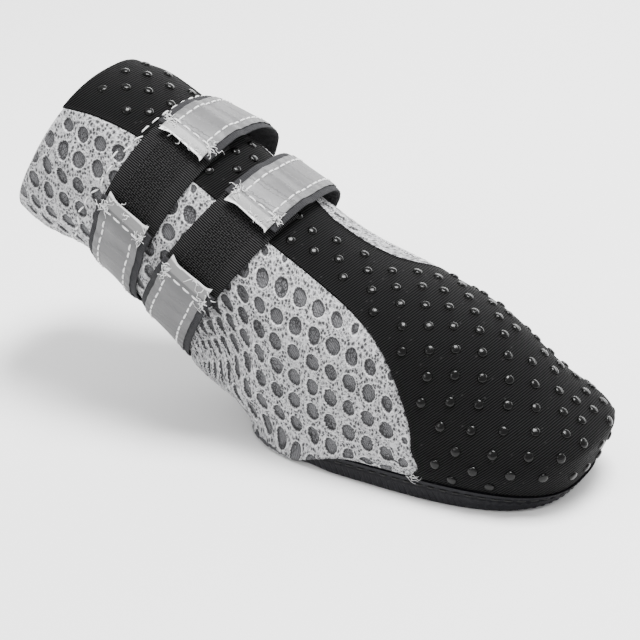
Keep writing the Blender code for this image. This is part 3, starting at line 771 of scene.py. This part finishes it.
def flat_pattern(points, section, turn):
    """Place of each point in the mesh as laid flat on the side.

    Each loop is unrolled from its widest point: the flat place is the widest point's place plus
    the distance round the loop along the line from the loop's back to its front.
    """
    row = blend_sections(section[:, 0])
    back, front = row[:, [0, 1]], row[:, [2, 3]]
    way = unit(front - back)
    widest = back + (front - back) * row[:, 5:6]
    length = travel(points)
    far = np.array([np.interp(0.75, turn[k], length[k]) for k in range(len(points))])
    near = np.array([np.interp(1.25, turn[k], length[k]) for k in range(len(points))])
    reach = np.where(turn > 1.0, length - near[:, None], far[:, None] - length)
    return widest[:, None, :] + reach[..., None] * way[:, None, :]


def hole_distance(flat, squeeze):
    """Distance to the nearest hole's centre, 1 at its edge; squeeze makes the holes longer."""
    base = np.floor(flat @ np.linalg.inv(HOLE_STEPS))
    best = np.full(flat.shape[:2], 9.0)
    for down in (-1, 0, 1, 2):
        for along in (-1, 0, 1, 2):
            gap = flat - (base + np.array([down, along])) @ HOLE_STEPS
            wide = (gap[..., 0] * HOLE_WAY[1] - gap[..., 1] * HOLE_WAY[0]) / HOLE_HALF_WIDE
            tall = (gap @ HOLE_WAY) / (HOLE_HALF_TALL * (1.0 + 0.28 * squeeze))
            best = np.minimum(best, np.hypot(wide, tall))
    return best


def edge_turns(section):
    """Turns of the panel's near and far edges for each section."""
    half = blend_sections(section)[:, -1]
    return 0.5 - half, 0.5 + half * np.interp(section, FAR_SECTIONS, FAR_SHARES)


def gather_cloth(flat, below):
    """Cloth drawn together under the lower strap, as a shift of its flat pattern.

    Behind a starting point the pattern runs faster along the strap's edge, by the pull at that
    distance below the strap times the way behind the point, which eases in over its first part.
    """
    point, way = strap_plane("lower")
    along = np.array([way[2], -way[0]])
    start = point[[0, 2]] + 0.85 * SHAFT_DEPTH * along
    behind = np.maximum(-(flat - start) @ along, 0.0)
    run = np.where(behind < GATHER_EASE, behind ** 2 / (2.0 * GATHER_EASE), behind - 0.5 * GATHER_EASE)
    pull = GATHER_PULL * (1.0 - smooth_step(-3.0 * MM, GATHER_LENGTH, below))
    pull = np.where(below < -0.5 * STRAP_WIDTH, 0.0, pull)
    return flat - (pull * run)[..., None] * along, pull * smooth_step(0.0, GATHER_EASE, behind)


def knit_pattern(base, section, turn, below):
    """Flat place, distance from a hole, pull of the gathers and row of holes at each point.

    The lattice of holes lies on the flat pattern, and fades out along the panel's edges.
    """
    flat = flat_pattern(base, section, turn)
    flat = flat + 0.35 * MM * np.stack([ripple(base, 2.3), ripple(base[..., ::-1], 1.9)], axis=-1)
    flat, pull = gather_cloth(flat, below)
    length = travel(base)
    from_edge = np.minimum(length, length[:, -1:] - length)
    hole = hole_distance(flat, np.clip(pull, 0.0, 1.0))
    hole += 0.55 * (1.0 - smooth_step(0.25 * EDGE_BORDER, EDGE_BORDER, from_edge))
    return flat, hole, pull, (flat @ np.linalg.inv(HOLE_STEPS))[..., 1]


def widen(values, fill):
    """Values of the mesh's own columns, with one plain value for those under the panel."""
    return np.concatenate([values, np.full((MESH_ROWS, UNDER_COLUMNS), fill)], axis=1)


def knit_height(base, section, hole, pulled, fold_sink_and_painted_shade, at_strap, at_heel, from_back, turn):
    """Height of the mesh over the form.

    Height = gathers near the strap + slack cloth under the collar + the heel's bulge - holes
    + a raised rim of yarn, pressed flat under the straps and let in under the panel.
    """
    gathers = GATHER_DEPTH * np.minimum(pulled, 1.0) * (0.35 - fold_sink_and_painted_shade) * (1.0 + 0.9 * at_strap)
    slack = smooth_step(COLLAR_SECTION - 2.1, COLLAR_SECTION - 1.2, section)
    slack *= 1.0 - smooth_step(COLLAR_SECTION - 0.6, COLLAR_SECTION, section)
    gathers += SLACK_DEPTH * slack * np.sin(2.0 * math.pi * 11.0 * turn + 1.0) * (from_back < 0.4)
    sink = HOLE_DEPTH * (1.0 - smooth_step(0.80, 1.04, hole)) * (1.0 - at_heel)
    rim = YARN_RIM * np.exp(-((hole - 1.16) / 0.13) ** 2)
    lumps = 0.05 * MM * ripple(base, 9.0)
    share = np.linspace(0.0, 1.0, MESH_COLUMNS)
    fade = smooth_step(0.0, 0.025, share) * (1.0 - smooth_step(0.975, 1.0, share))
    free = widen(np.tile(fade, (MESH_ROWS, 1)), 0.0)
    up = np.linspace(0.0, 1.0, MESH_ROWS)[:, None]
    ends = smooth_step(0.0, 0.02, up) * (1.0 - smooth_step(0.97, 1.0, up))
    height = (gathers + HEEL_BULGE * at_heel) * free + (rim + lumps - sink) * free * ends
    height = np.maximum(height, 0.2 * MM - WALL)
    under_panel = widen(np.zeros((MESH_ROWS, MESH_COLUMNS)), 1.0)
    under_panel[:, [0, MESH_COLUMNS - 1]] = 1.0
    height -= under_panel * (PANEL_THICK + 0.5 * GAP)
    pressed = np.zeros(height.shape)
    for strap in STRAPS:
        point, way = strap_plane(strap["name"])
        off = np.abs((base - point) @ way)
        edge = 0.5 * STRAP_WIDTH
        pressed = np.maximum(pressed, 1.0 - smooth_step(edge - 0.5 * MM, edge + 1.5 * MM, off))
    return np.where(height > 0.0, height * (1.0 - pressed), height)


def build_mesh_upper(mesh_cloth, lining):
    """Hollow upper: the knitted mesh outside, a rolled hem at the collar and a soft lining."""
    section_line = even_rows(MESH_ROWS)
    near_edge, far_edge = edge_turns(section_line)
    share = np.linspace(0.0, 1.0, MESH_COLUMNS)
    mesh_turn = far_edge[:, None] + (1.0 + near_edge - far_edge)[:, None] * share
    under = np.linspace(0.0, 1.0, UNDER_COLUMNS + 2)[1:-1]
    panel_turn = 1.0 + near_edge[:, None] + (far_edge - near_edge)[:, None] * under
    turn = np.concatenate([mesh_turn, panel_turn], axis=1)
    section = np.broadcast_to(section_line[:, None], turn.shape)
    base = boot_points(section, turn)
    point, way = strap_plane("lower")
    below = -((base - point) @ way) - 0.5 * STRAP_WIDTH
    own = np.s_[:, :MESH_COLUMNS]
    flat, hole, pull, phase = knit_pattern(base[own], section[own], mesh_turn, below[own])
    hole, pulled, phase = widen(hole, 2.0), widen(pull, 0.0), widen(phase, 0.0)
    from_back = np.abs(((turn + 0.5) % 1.0) - 0.5)
    at_strap = np.where(below < 6.0 * MM, 1.0 - smooth_step(0.0, 6.0 * MM, below), 0.0)
    at_heel = (1.0 - smooth_step(RIM_SECTION, 2.9, section)) * (1.0 - smooth_step(0.175, 0.245, from_back))
    fold_sink_and_painted_shade = 0.5 + 0.5 * np.cos(2.0 * math.pi * phase)
    height = knit_height(base, section, hole, pulled, fold_sink_and_painted_shade, at_strap, at_heel, from_back, turn)
    outer = base + boot_normals(section, turn) * height[..., None]
    droop = HEEL_DROOP * at_heel * np.clip(0.35 + from_back / 0.13, 0.0, 1.0)
    outer[..., 2] = np.maximum(outer[..., 2] - droop, 0.45 * MM + 0.25 * MM * section)
    outer[0, :, 2] += GAP

    inner_rows = even_rows(LINING_ROWS)[::-1]
    thick = np.interp(inner_rows, [10.0, 10.6], [WALL, HEM_WALL])
    inner_turn = np.stack([np.interp(inner_rows, section_line, column) for column in turn.T], axis=1)
    inner_section = np.broadcast_to(inner_rows[:, None], inner_turn.shape)
    inner = boot_points(inner_section, inner_turn)
    inner = inner - boot_normals(inner_section, inner_turn) * thick[:, None, None]
    inner[-1, :, 2] += GAP
    rise = unit(outer[-1] - base[-3])
    middle, half = 0.5 * (outer[-1] + inner[0]), 0.5 * (outer[-1] - inner[0])
    size = np.linalg.norm(half, axis=-1, keepdims=True)
    hem = np.stack([middle + half * math.cos(angle) + rise * size * math.sin(angle)
                    for angle in np.linspace(0.0, math.pi, 9)[1:-1]])
    points = np.concatenate([outer, hem, inner])

    plain = np.full((len(hem) + len(inner), turn.shape[1]), 2.0)
    # Painted shade for the folds by the lower strap, kept as a point value for the mesh material.
    shade = np.minimum(pulled, 1.0) * fold_sink_and_painted_shade * (0.25 + 0.75 * at_strap)
    values = {"hole": np.concatenate([hole, plain]), "fold_sink_and_painted_shade": np.concatenate([shade, 0.0 * plain])}
    uv = np.concatenate([flat, np.repeat(flat[:, -1:], UNDER_COLUMNS + 1, axis=1)], axis=1) / MM
    uv = np.concatenate([uv, np.repeat(uv[-1:], len(plain), axis=0), uv[:1]])
    mesh = lay_grid("mesh_upper", points, uv, close_rows=True, close_columns=True, values=values)
    piece = finish_piece("mesh_upper", mesh, [mesh_cloth, lining], ("upper",), angle=75.0)
    inside = np.zeros((len(points), turn.shape[1]), dtype=np.int32)
    inside[MESH_ROWS + 3:] = 1
    mesh.polygons.foreach_set("material_index", inside.ravel())
    return piece


def build_panel(twill):
    """Front panel: the form's own surface, wrapped over the collar, with thick turned edges."""
    section_line = even_rows(PANEL_ROWS)
    near_edge, far_edge = edge_turns(section_line)
    share = np.linspace(0.0, 1.0, PANEL_COLUMNS)
    turn = near_edge[:, None] + (far_edge - near_edge)[:, None] * share
    section = np.broadcast_to(section_line[:, None], turn.shape)
    base = boot_points(section, turn)
    normal = boot_normals(section, turn)
    roll = PANEL_ROLL * (np.exp(-(share / 0.018) ** 2) + np.exp(-((1.0 - share) / 0.018) ** 2))
    outer = base + normal * (roll + 0.10 * MM * ripple(base, 0.8))[..., None]
    outer[0, :, 2] += GAP
    rise = unit(base[-1] - base[-3])
    radius = 0.5 * (HEM_WALL + PANEL_THICK)
    ridge = [base[-1] - normal[-1] * radius * (1.0 - math.cos(angle))
             + rise * (radius + PANEL_THICK) * math.sin(angle)
             for angle in np.linspace(0.0, math.pi, 9)[1:]]
    for value in np.linspace(COLLAR_SECTION, COLLAR_SECTION - 0.45, 6)[1:]:
        spot = np.full(PANEL_COLUMNS, value)
        ridge.append(boot_points(spot, turn[-1])
                     - boot_normals(spot, turn[-1]) * (HEM_WALL + PANEL_THICK))
    face = np.concatenate([outer, np.array(ridge)])
    out = unit(np.cross(np.gradient(face, axis=1), np.gradient(face, axis=0)))
    points = np.concatenate([face, (face - out * PANEL_THICK)[:, ::-1]], axis=1)
    rows, around = points.shape[:2]
    uv = plain_uv(np.arange(rows) * 0.7 * MM, np.arange(around + 1) * 0.7 * MM)
    mesh = lay_grid("dotted_panel", points, uv, close_columns=True)
    close_ends(mesh, rows, around, around - 1)
    return finish_piece("dotted_panel", mesh, [twill], ("front_panel",), angle=60.0)


def column_plane(section):
    """Normal of the planes that the columns of dots lie in, turning towards the toe."""
    toe = 1.0 - smooth_step(3.2, 4.9, section)
    shaft = smooth_step(5.6, 7.0, section)
    plane = (np.array([0.71, 0.66, -0.25]) * (1.0 - toe - shaft)[..., None]
             + np.array([0.42, 0.64, -0.64]) * toe[..., None]
             + np.array([0.79, 0.60, -0.10]) * shaft[..., None])
    return unit(plane)


def walk(section, turn, distance):
    """Walk over the form along the columns of dots, in small steps.

    Each step solves ds * dP/dsection + du * dP/dturn = step * direction for ds and du.
    """
    step = distance[:, None] / WALK_STEPS
    for _ in range(WALK_STEPS):
        up = (boot_points(section + 0.01, turn) - boot_points(section - 0.01, turn)) / 0.02
        round_way = (boot_points(section, turn + 0.001) - boot_points(section, turn - 0.001)) / 0.002
        normal = unit(np.cross(round_way, up))
        way = unit(np.cross(normal, column_plane(section))) * step
        a, b, c = (up * up).sum(-1), (up * round_way).sum(-1), (round_way * round_way).sum(-1)
        p, q = (up * way).sum(-1), (round_way * way).sum(-1)
        det = np.maximum(a * c - b * b, 1e-14)
        section = np.clip(section + (p * c - q * b) / det, 0.9, COLLAR_SECTION + 0.1)
        turn = turn + (q * a - p * b) / det
    return section, turn


def dot_places():
    """Places of the grip dots: even steps both ways along each column's plane."""
    start = np.array(DOT_STARTS)
    steps = np.where(start[:, 0] > 9.9, DOT_STEP_SHAFT, DOT_STEP)
    found = [start.T]
    for sign in (1.0, -1.0):
        section, turn = start.T
        for _ in range(12):
            section, turn = walk(section, turn, sign * steps)
            found.append((section, turn))
    section, turn = np.concatenate(found, axis=1)
    near_edge, far_edge = edge_turns(np.clip(section, 0.0, COLLAR_SECTION))
    inside = (turn > near_edge + DOT_EDGE_SHARE) & (turn < far_edge - DOT_EDGE_SHARE)
    inside &= (section > 1.45) & (section < COLLAR_SECTION - 0.12)
    section, turn = section[inside], turn[inside]
    points, normals = boot_points(section, turn), boot_normals(section, turn)
    kept = []
    for number, point in enumerate(points):
        if all(np.linalg.norm(point - points[other]) > 0.74 * DOT_STEP for other in kept):
            kept.append(number)
    return points[kept], normals[kept]


def build_dots(material):
    """Grip dots: turned domes standing on the twill."""
    origins, normals = dot_places()
    side = unit(np.cross(normals, np.array([0.3, 1.0, 0.1])))
    axes = np.stack([side, np.cross(normals, side), normals], axis=1)
    profile = np.array(DOT_PROFILE) * MM
    shape, faces = turned_shape(profile, DOT_SIDES, DOT_TOP * MM, profile[0, 1])
    mesh = scatter("grip_dots", shape, faces, origins + normals * 0.05 * MM, axes)
    return finish_piece("grip_dots", mesh, [material])


# Straps


def strap_lift(name, turn, side):
    """Stand-off of a strap at a turn; side runs from -0.5 at its toe edge to 0.5."""
    table = np.array(LIFTS)
    collar, toe = (np.interp(turn, table[:, 0], table[:, LIFT_COLUMNS.index(name + edge)])
                   for edge in ("_collar", "_toe"))
    return ARCH_LIFT * (toe + (collar - toe) * (side + 0.5))


def band_height(strap, turn, side):
    """Outer face of the band: over the hook pad at both ends and arched off the front."""
    pad_start = strap["pad_start"] - 0.006
    pad_end = strap["pad_end"] - 1.0 + 0.006
    at_sewn_end = smooth_step(pad_start - STRAP_EASE, pad_start, turn)
    at_free_end = 1.0 - smooth_step(pad_end, pad_end + STRAP_EASE, turn)
    over_pad = np.maximum(at_sewn_end, at_free_end) * (PAD_THICK + GAP)
    return GAP + STRAP_THICK + over_pad + strap_lift(strap["name"], turn, side)


def wrap_points(strap, turn, side, height):
    """Points and normals round the boot in the strap's planes, height above its surface."""
    point, direction = strap_plane(strap["name"])
    fine = np.linspace(STRAPPED_SECTION, COLLAR_SECTION, 220)
    distance = (boot_points(*np.broadcast_arrays(fine[:, None], turn[:1])) - point) @ direction
    section = np.stack([np.interp(side[:, k] * STRAP_WIDTH, distance[:, k], fine)
                        for k in range(turn.shape[1])], axis=1)
    normal = boot_normals(section, turn)
    return boot_points(section, turn) + height[..., None] * normal, normal


def strap_line(strap, turn, side, lift):
    """A line over a strap through places (turn, side), with its normals."""
    turn, side = np.broadcast_arrays(turn, side)
    points, normals = wrap_points(strap, turn, side, band_height(strap, turn, side) + lift)
    return points.reshape(-1, 3), normals.reshape(-1, 3)


def build_ribbon(name, strap, start, end, width, top, thick, steps, material, replaces,
                 relief=None, turn_ends=0.0):
    """A flat strip round the boot: a rounded flat loop carried along the strap's turns.

    Its loop is (width/2 |cos|^0.35, thick/2 |sin|^0.7), relief adds height to the top, and
    turn_ends draws the corners of its ends out.
    """
    around = 44
    cos, sin = circle(around)
    across = np.sign(cos) * np.abs(cos) ** 0.35
    up = (np.sign(sin) * np.abs(sin) ** 0.7)[:, None]
    side = (0.5 * width / STRAP_WIDTH) * across
    side_grid = np.repeat(side[:, None], steps, axis=1)
    turn_grid = np.tile(np.linspace(start, end, steps), (around, 1))
    ears = turn_ends * (np.abs(across) ** 5 + 0.15 * np.sin(23.0 * side))
    turn_grid[:, 0] -= ears
    turn_grid[:, -1] += ears
    height = top(turn_grid, side_grid) - 0.5 * thick + 0.5 * thick * up
    if relief is not None:
        height = height + relief(turn_grid, side_grid) * np.maximum(up, 0.0)
    points, _ = wrap_points(strap, turn_grid, side_grid, height)
    length = travel(points[around // 4])
    from_end = np.minimum(length, length[-1] - length) / MM
    uv = plain_uv(length, np.append(side, side[0]) * STRAP_WIDTH)
    mesh = lay_grid(name, points.transpose(1, 0, 2), uv, close_columns=True,
                    values={"from_end": np.repeat(from_end, around)})
    close_ends(mesh, steps, around, around)
    return finish_piece(name, mesh, [material], (replaces,), angle=70.0)


def build_strap(strap, webbing, hook_tape, hook, tape, white):
    """One strap: hook pad with its hooks, band, reflective tape, stitches and frayed ends."""
    name = strap["name"]
    start = strap["free_end"] - 1.0
    end = strap["sewn_end"]

    def pad_top(turn, side):
        return np.full(turn.shape, GAP + PAD_THICK - HOOK_BED)

    def pad_relief(turn, side):
        """Raised selvedges, and a lower bed between them for the hooks."""
        return SELVEDGE * smooth_step(0.28, 0.31, np.abs(side))

    def band_top(turn, side):
        return band_height(strap, turn, side) + 0.06 * MM * np.sin(turn * 400.0) * np.sin(side * 40.0)

    def tape_top(turn, side):
        pucker = 0.10 * MM * np.sin(turn * 2.0 * math.pi * 44.0) * smooth_step(0.2, 0.36, np.abs(side))
        return band_height(strap, turn, side) + 0.05 * MM + TAPE_THICK + pucker

    build_ribbon("hook_tape_" + name, strap, strap["pad_start"], strap["pad_end"], STRAP_WIDTH,
                 pad_top, PAD_THICK - HOOK_BED, 300, hook_tape,
                 "hook_pad_" + name, pad_relief)
    build_hooks(strap, hook)
    build_ribbon("band_" + name, strap, start + 0.004, end - 0.004, STRAP_WIDTH, band_top,
                 STRAP_THICK, 260, webbing, "strap_" + name)
    build_ribbon("silver_tape_" + name, strap, start - 0.003, end + 0.003, TAPE_WIDTH, tape_top,
                 TAPE_THICK, 300, tape, "tape_" + name, turn_ends=0.006)
    row = (0.5 * TAPE_WIDTH - TAPE_STITCH_INSET) / STRAP_WIDTH
    lift = 0.06 * MM + TAPE_THICK
    first, last = start + TAPE_STITCH_END, end - TAPE_STITCH_END
    along, across = np.linspace(first, last, 160)[None, :], np.linspace(-0.36, 0.36, 40)[:, None]
    places = ((along, row), (along, -row), (first, across), (last, across))
    lines = [strap_line(strap, turn, side, lift) for turn, side in places]
    stitch_row("tape_stitches_" + name, lines, white)
    build_frayed_ends(strap, start, end, white)


def build_hooks(strap, material):
    """The hook field: small bent hooks in staggered rows."""
    rows = []
    rng = np.random.default_rng(12)
    for place in HOOK_ROWS:
        first = strap["pad_start"] + 0.006 + HOOK_STEP / 3.0 * (place % 3)
        turn = np.arange(first, strap["pad_end"] - 0.006, HOOK_STEP)[None, :]
        turn = turn + rng.uniform(-0.0009, 0.0009, turn.shape)
        side = place * HOOK_ROW_STEP + rng.uniform(-0.008, 0.008, turn.shape)
        height = np.full(turn.shape, GAP + PAD_THICK - HOOK_BED - 0.05 * MM)
        points, normals = wrap_points(strap, turn, side, height)
        ways = unit(np.gradient(points[0], axis=0) + rng.normal(0.0, 0.35 * MM, points[0].shape))
        across = unit(np.cross(normals[0], ways))
        rows.append((points[0], np.stack([ways, across, np.cross(ways, across)], axis=1)))
    origins, axes = (np.concatenate(items) for items in zip(*rows))
    spine = [(0.34 * MM * math.cos(angle), 0.25 * MM + 0.30 * MM * math.sin(angle))
             for angle in np.linspace(3.6, -0.5, 7)]
    shape, faces = tube_shape(spine, np.full(len(spine), 0.09 * MM), 5)
    name = "hooks_" + strap["name"]
    return finish_piece(name, scatter(name, shape, faces, origins, axes), [material])


def build_frayed_ends(strap, start, end, white):
    """Thread nests at the corners of the cross stitches, and a few loose ends on the cut edges."""
    half = 0.5 * TAPE_WIDTH / STRAP_WIDTH
    seed = FRAY_SEEDS[strap["name"]]
    rng = np.random.default_rng(seed)
    found = []
    for at, away in ((start, -1.0), (end, 1.0)):
        side = np.concatenate([rng.normal(0.93 * half, 0.03, 16), rng.normal(-0.93 * half, 0.03, 16),
                               rng.uniform(-half, half, 7)])[:, None]
        inward = np.concatenate([rng.normal(0.016, 0.0045, 32), rng.uniform(-0.002, 0.002, 7)])
        turn = at - away * inward[:, None]
        height = band_height(strap, turn, side) + TAPE_THICK + 0.05 * MM
        points, normals = wrap_points(strap, turn, side, height)
        ahead, _ = wrap_points(strap, turn + 0.004, side, height)
        length_way = unit(ahead[:, 0] - points[:, 0]) * away
        across = unit(np.cross(normals[:, 0], length_way))
        mixed = length_way * rng.uniform(-1.0, 1.0, (len(side), 1))
        mixed = mixed + across * rng.uniform(-1.0, 1.0, (len(side), 1))
        found.append((points[:, 0], unit(mixed), normals[:, 0]))
    roots, ways, ups = (np.concatenate(items) for items in zip(*found))
    loose_threads("frayed_ends_" + strap["name"], roots, ways, ups, FRAY_LENGTH, FRAY_RADIUS,
                  seed + 20, white)


# Stitches of the upper


def build_topstitch(white):
    """Topstitching round the shaft that holds the collar's hem."""
    turn = np.linspace(0.0, 1.0, 400)
    wander = 0.05 * np.sin(60.0 * turn) + 0.03 * np.sin(151.0 * turn)
    section = TOPSTITCH_SECTION + wander * (np.abs(turn - 0.5) > 0.10)
    normals = boot_normals(section, turn)
    line = boot_points(section, turn) + normals * 0.12 * MM
    return stitch_row("collar_topstitch", [(line, normals)], white, length=3.0 * MM,
                      step=4.3 * MM)


def build_corner_threads(white):
    """Loose threads where the panel's edge runs into the sole on both sides."""
    rng = np.random.default_rng(3)
    count = 9
    found = []
    for edge in (0, 1):
        section = np.array([RIM_SECTION + 0.06])
        turn = edge_turns(section)[edge]
        spots = np.repeat(section, count) + rng.uniform(0.0, 0.12, count)
        turns = np.repeat(turn, count) + rng.uniform(-0.004, 0.004, count)
        normals = boot_normals(spots, turns)
        ways = np.stack([rng.uniform(0.2, 1.0, count), np.zeros(count),
                         rng.uniform(-0.35, 0.35, count)], axis=1)
        found.append((boot_points(spots, turns) + normals * 0.3 * MM, unit(ways), normals))
    roots, ways, ups = (np.concatenate(items) for items in zip(*found))
    loose_threads("corner_threads", roots, ways, ups, 2.4 * MM, 0.09 * MM, 31, white)


# Sole


def outline_turns(count):
    """Turns spaced evenly round the ground outline, starting at the back, and its girth."""
    fine = np.linspace(0.0, 1.0, 3001)
    length = travel(boot_points(np.zeros_like(fine), fine))
    return np.interp(np.arange(count) / count * length[-1], length, fine), length[-1]


def side_face(turn, share):
    """Point on the sole's side between its ground outline and its rim, and its outward way."""
    level = np.zeros_like(turn)
    ground = boot_points(level, turn)
    rim = boot_points(level + RIM_SECTION, turn)
    ground[..., 2] = ground_height(ground[..., 0])
    step = boot_points(level, turn + 0.001) - boot_points(level, turn - 0.001)
    out = unit(np.stack([step[..., 1], -step[..., 0], level], axis=-1))
    centre = np.array([0.009, 0.0, 0.0])
    out = out * np.sign(((ground - centre) * out).sum(axis=-1, keepdims=True))
    return ground + (rim - ground) * share[..., None], out


def build_sole_side(rubber):
    """The sole's moulded side wall.

    Outward height = diagonal ribs at the middle, small blocks round the toe, and a stitch groove.
    """
    turn_line, girth = outline_turns(SIDE_COLUMNS)
    share_line = np.concatenate([[0.05], np.linspace(0.10, 0.98, 26), [1.0]])
    share, turn = np.meshgrid(share_line, turn_line, indexing="ij")
    point, out = side_face(turn, share)
    length = np.arange(SIDE_COLUMNS + 1) / SIDE_COLUMNS * girth
    along, tall = length[None, :-1], point[..., 2]
    ribs = RIB_DEPTH * np.sin(2.0 * math.pi * (along / RIB_PITCH + tall / RIB_SLANT))
    blocks = BLOCK_DEPTH * smooth_step(-0.35, 0.35, np.sin(2.0 * math.pi * along / BLOCK_PITCH))
    blocks = blocks * smooth_step(-0.2, 0.5, np.sin(2.0 * math.pi * tall / BLOCK_RISE))
    at_toe = smooth_step(0.30, 0.34, turn) * (1.0 - smooth_step(0.66, 0.70, turn))
    band = smooth_step(0.10, 0.16, share) * (1.0 - smooth_step(0.56, 0.62, share))
    groove = smooth_step(0.63, 0.68, share) * (1.0 - smooth_step(0.80, 0.85, share))
    height = 0.55 * MM + band * (ribs * (1.0 - at_toe) + blocks * at_toe) - GROOVE_DEPTH * groove
    height = height - 0.35 * MM * (1.0 - smooth_step(0.05, 0.12, share))
    from_back = np.abs(((turn + 0.5) % 1.0) - 0.5)
    height = height * smooth_step(0.185, 0.225, from_back)
    outer = point + out * height[..., None]
    outer[0, :, 2] = np.maximum(outer[0, :, 2], ground_height(outer[0, :, 0]) + 0.15 * MM)
    inner = outer[[-1, 0]] - out[[-1, 0]] * SIDE_THICK
    points = np.concatenate([outer, inner])
    uv = plain_uv(np.arange(len(points) + 1) * 0.3 * MM, length)
    mesh = lay_grid("sole_side", points, uv, close_rows=True, close_columns=True)
    return finish_piece("sole_side", mesh, [rubber], angle=75.0)


def build_sole_stitches(black):
    """Dark stitches lying in the groove under the sole's top edge."""
    turn = np.linspace(0.225, 0.775, 600)
    point, out = side_face(turn, np.full(turn.shape, 0.74))
    line = point + out * 0.18 * MM
    return stitch_row("sole_stitches", [(line, out)], black, length=2.7 * MM,
                      step=3.6 * MM, radius=0.30 * MM)


# Stage


def axes_matrix(place, right, up, back):
    """A placement from three axes and a place."""
    rows = [[right[k], up[k], back[k], place[k]] for k in range(3)]
    return Matrix(rows + [[0.0, 0.0, 0.0, 1.0]])


def build_stage():
    """Pale floor and soft lights."""
    mesh = bpy.data.meshes.new("floor")
    corners = [(-1.5, -1.5, 0.0), (1.5, -1.5, 0.0), (1.5, 1.5, 0.0), (-1.5, 1.5, 0.0)]
    mesh.from_pydata(corners, [], [(0, 1, 2, 3)])
    floor = bpy.data.objects.new("floor", mesh)
    mesh.materials.append(floor_material())
    bpy.context.scene.collection.objects.link(floor)
    world = bpy.data.worlds.new("studio")
    world.use_nodes = True
    world.node_tree.nodes["Background"].inputs["Color"].default_value = (1.0, 1.0, 1.0, 1.0)
    world.node_tree.nodes["Background"].inputs["Strength"].default_value = 1.0
    bpy.context.scene.world = world
    lights = (
        ("key", (0.12, 0.10, 0.95), 0.40, 0.40, 26.0),
        ("front_fill", (-0.35, -0.95, 0.60), 0.30, 0.30, 4.5),
        ("back_strip", (0.10, 0.85, 0.34), 1.60, 0.20, 11.0),
    )
    for name, place, wide, tall, power in lights:
        lamp = bpy.data.lights.new(name, "AREA")
        lamp.shape = "RECTANGLE"
        lamp.size = wide
        lamp.size_y = tall
        lamp.energy = power
        back = unit(np.array(place) - np.array([-0.02, 0.0, 0.04]))
        right = unit(np.cross([0.0, 0.0, 1.0], back))
        thing = bpy.data.objects.new(name, lamp)
        thing.matrix_world = axes_matrix(place, right, np.cross(back, right), back)
        bpy.context.scene.collection.objects.link(thing)


def build_camera():
    """Camera turned 30.6 degrees to the toe side and 25.2 degrees up, as in the photograph."""
    azimuth = math.radians(30.6)
    elevation = math.radians(25.2)
    target = np.array([-0.030, 0.0, 0.040])
    distance = 0.650
    focal_pixels = 2275.0
    image_pixels = 640.0
    target_pixel = (309.0, 288.0)
    back = np.array([math.sin(azimuth) * math.cos(elevation),
                     -math.cos(azimuth) * math.cos(elevation), math.sin(elevation)])
    right = np.array([math.cos(azimuth), math.sin(azimuth), 0.0])
    lens = bpy.data.cameras.new("camera")
    lens.sensor_width = 36.0
    lens.lens = focal_pixels / image_pixels * lens.sensor_width
    lens.shift_x = 0.5 - target_pixel[0] / image_pixels
    lens.shift_y = target_pixel[1] / image_pixels - 0.5
    lens.clip_start = 0.01
    camera = bpy.data.objects.new("camera", lens)
    camera.matrix_world = axes_matrix(target + back * distance, right, np.cross(back, right), back)
    bpy.context.scene.collection.objects.link(camera)
    bpy.context.scene.camera = camera


def main():
    """Dress the frame and set the stage."""
    finish = {name: plain_finish(name, **values) for name, values in PLAIN_FINISHES.items()}
    white = finish["white_thread"]
    build_mesh_upper(air_mesh_material(), finish["brushed_lining"])
    build_panel(finish["dotted_twill"])
    build_dots(finish["grip_dot"])
    tape = tape_material()
    for strap in STRAPS:
        build_strap(strap, finish["loop_webbing"], finish["hook_webbing"], finish["nylon_hook"],
                    tape, white)
    build_topstitch(white)
    build_corner_threads(white)
    build_sole_side(finish["moulded_rubber"])
    build_sole_stitches(finish["black_thread"])
    for node, material in (("outsole", "moulded_rubber"), ("insole", "insole_foam")):
        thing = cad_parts[node]
        thing.data.materials.clear()
        thing.data.materials.append(finish[material])
    build_stage()
    build_camera()


main()
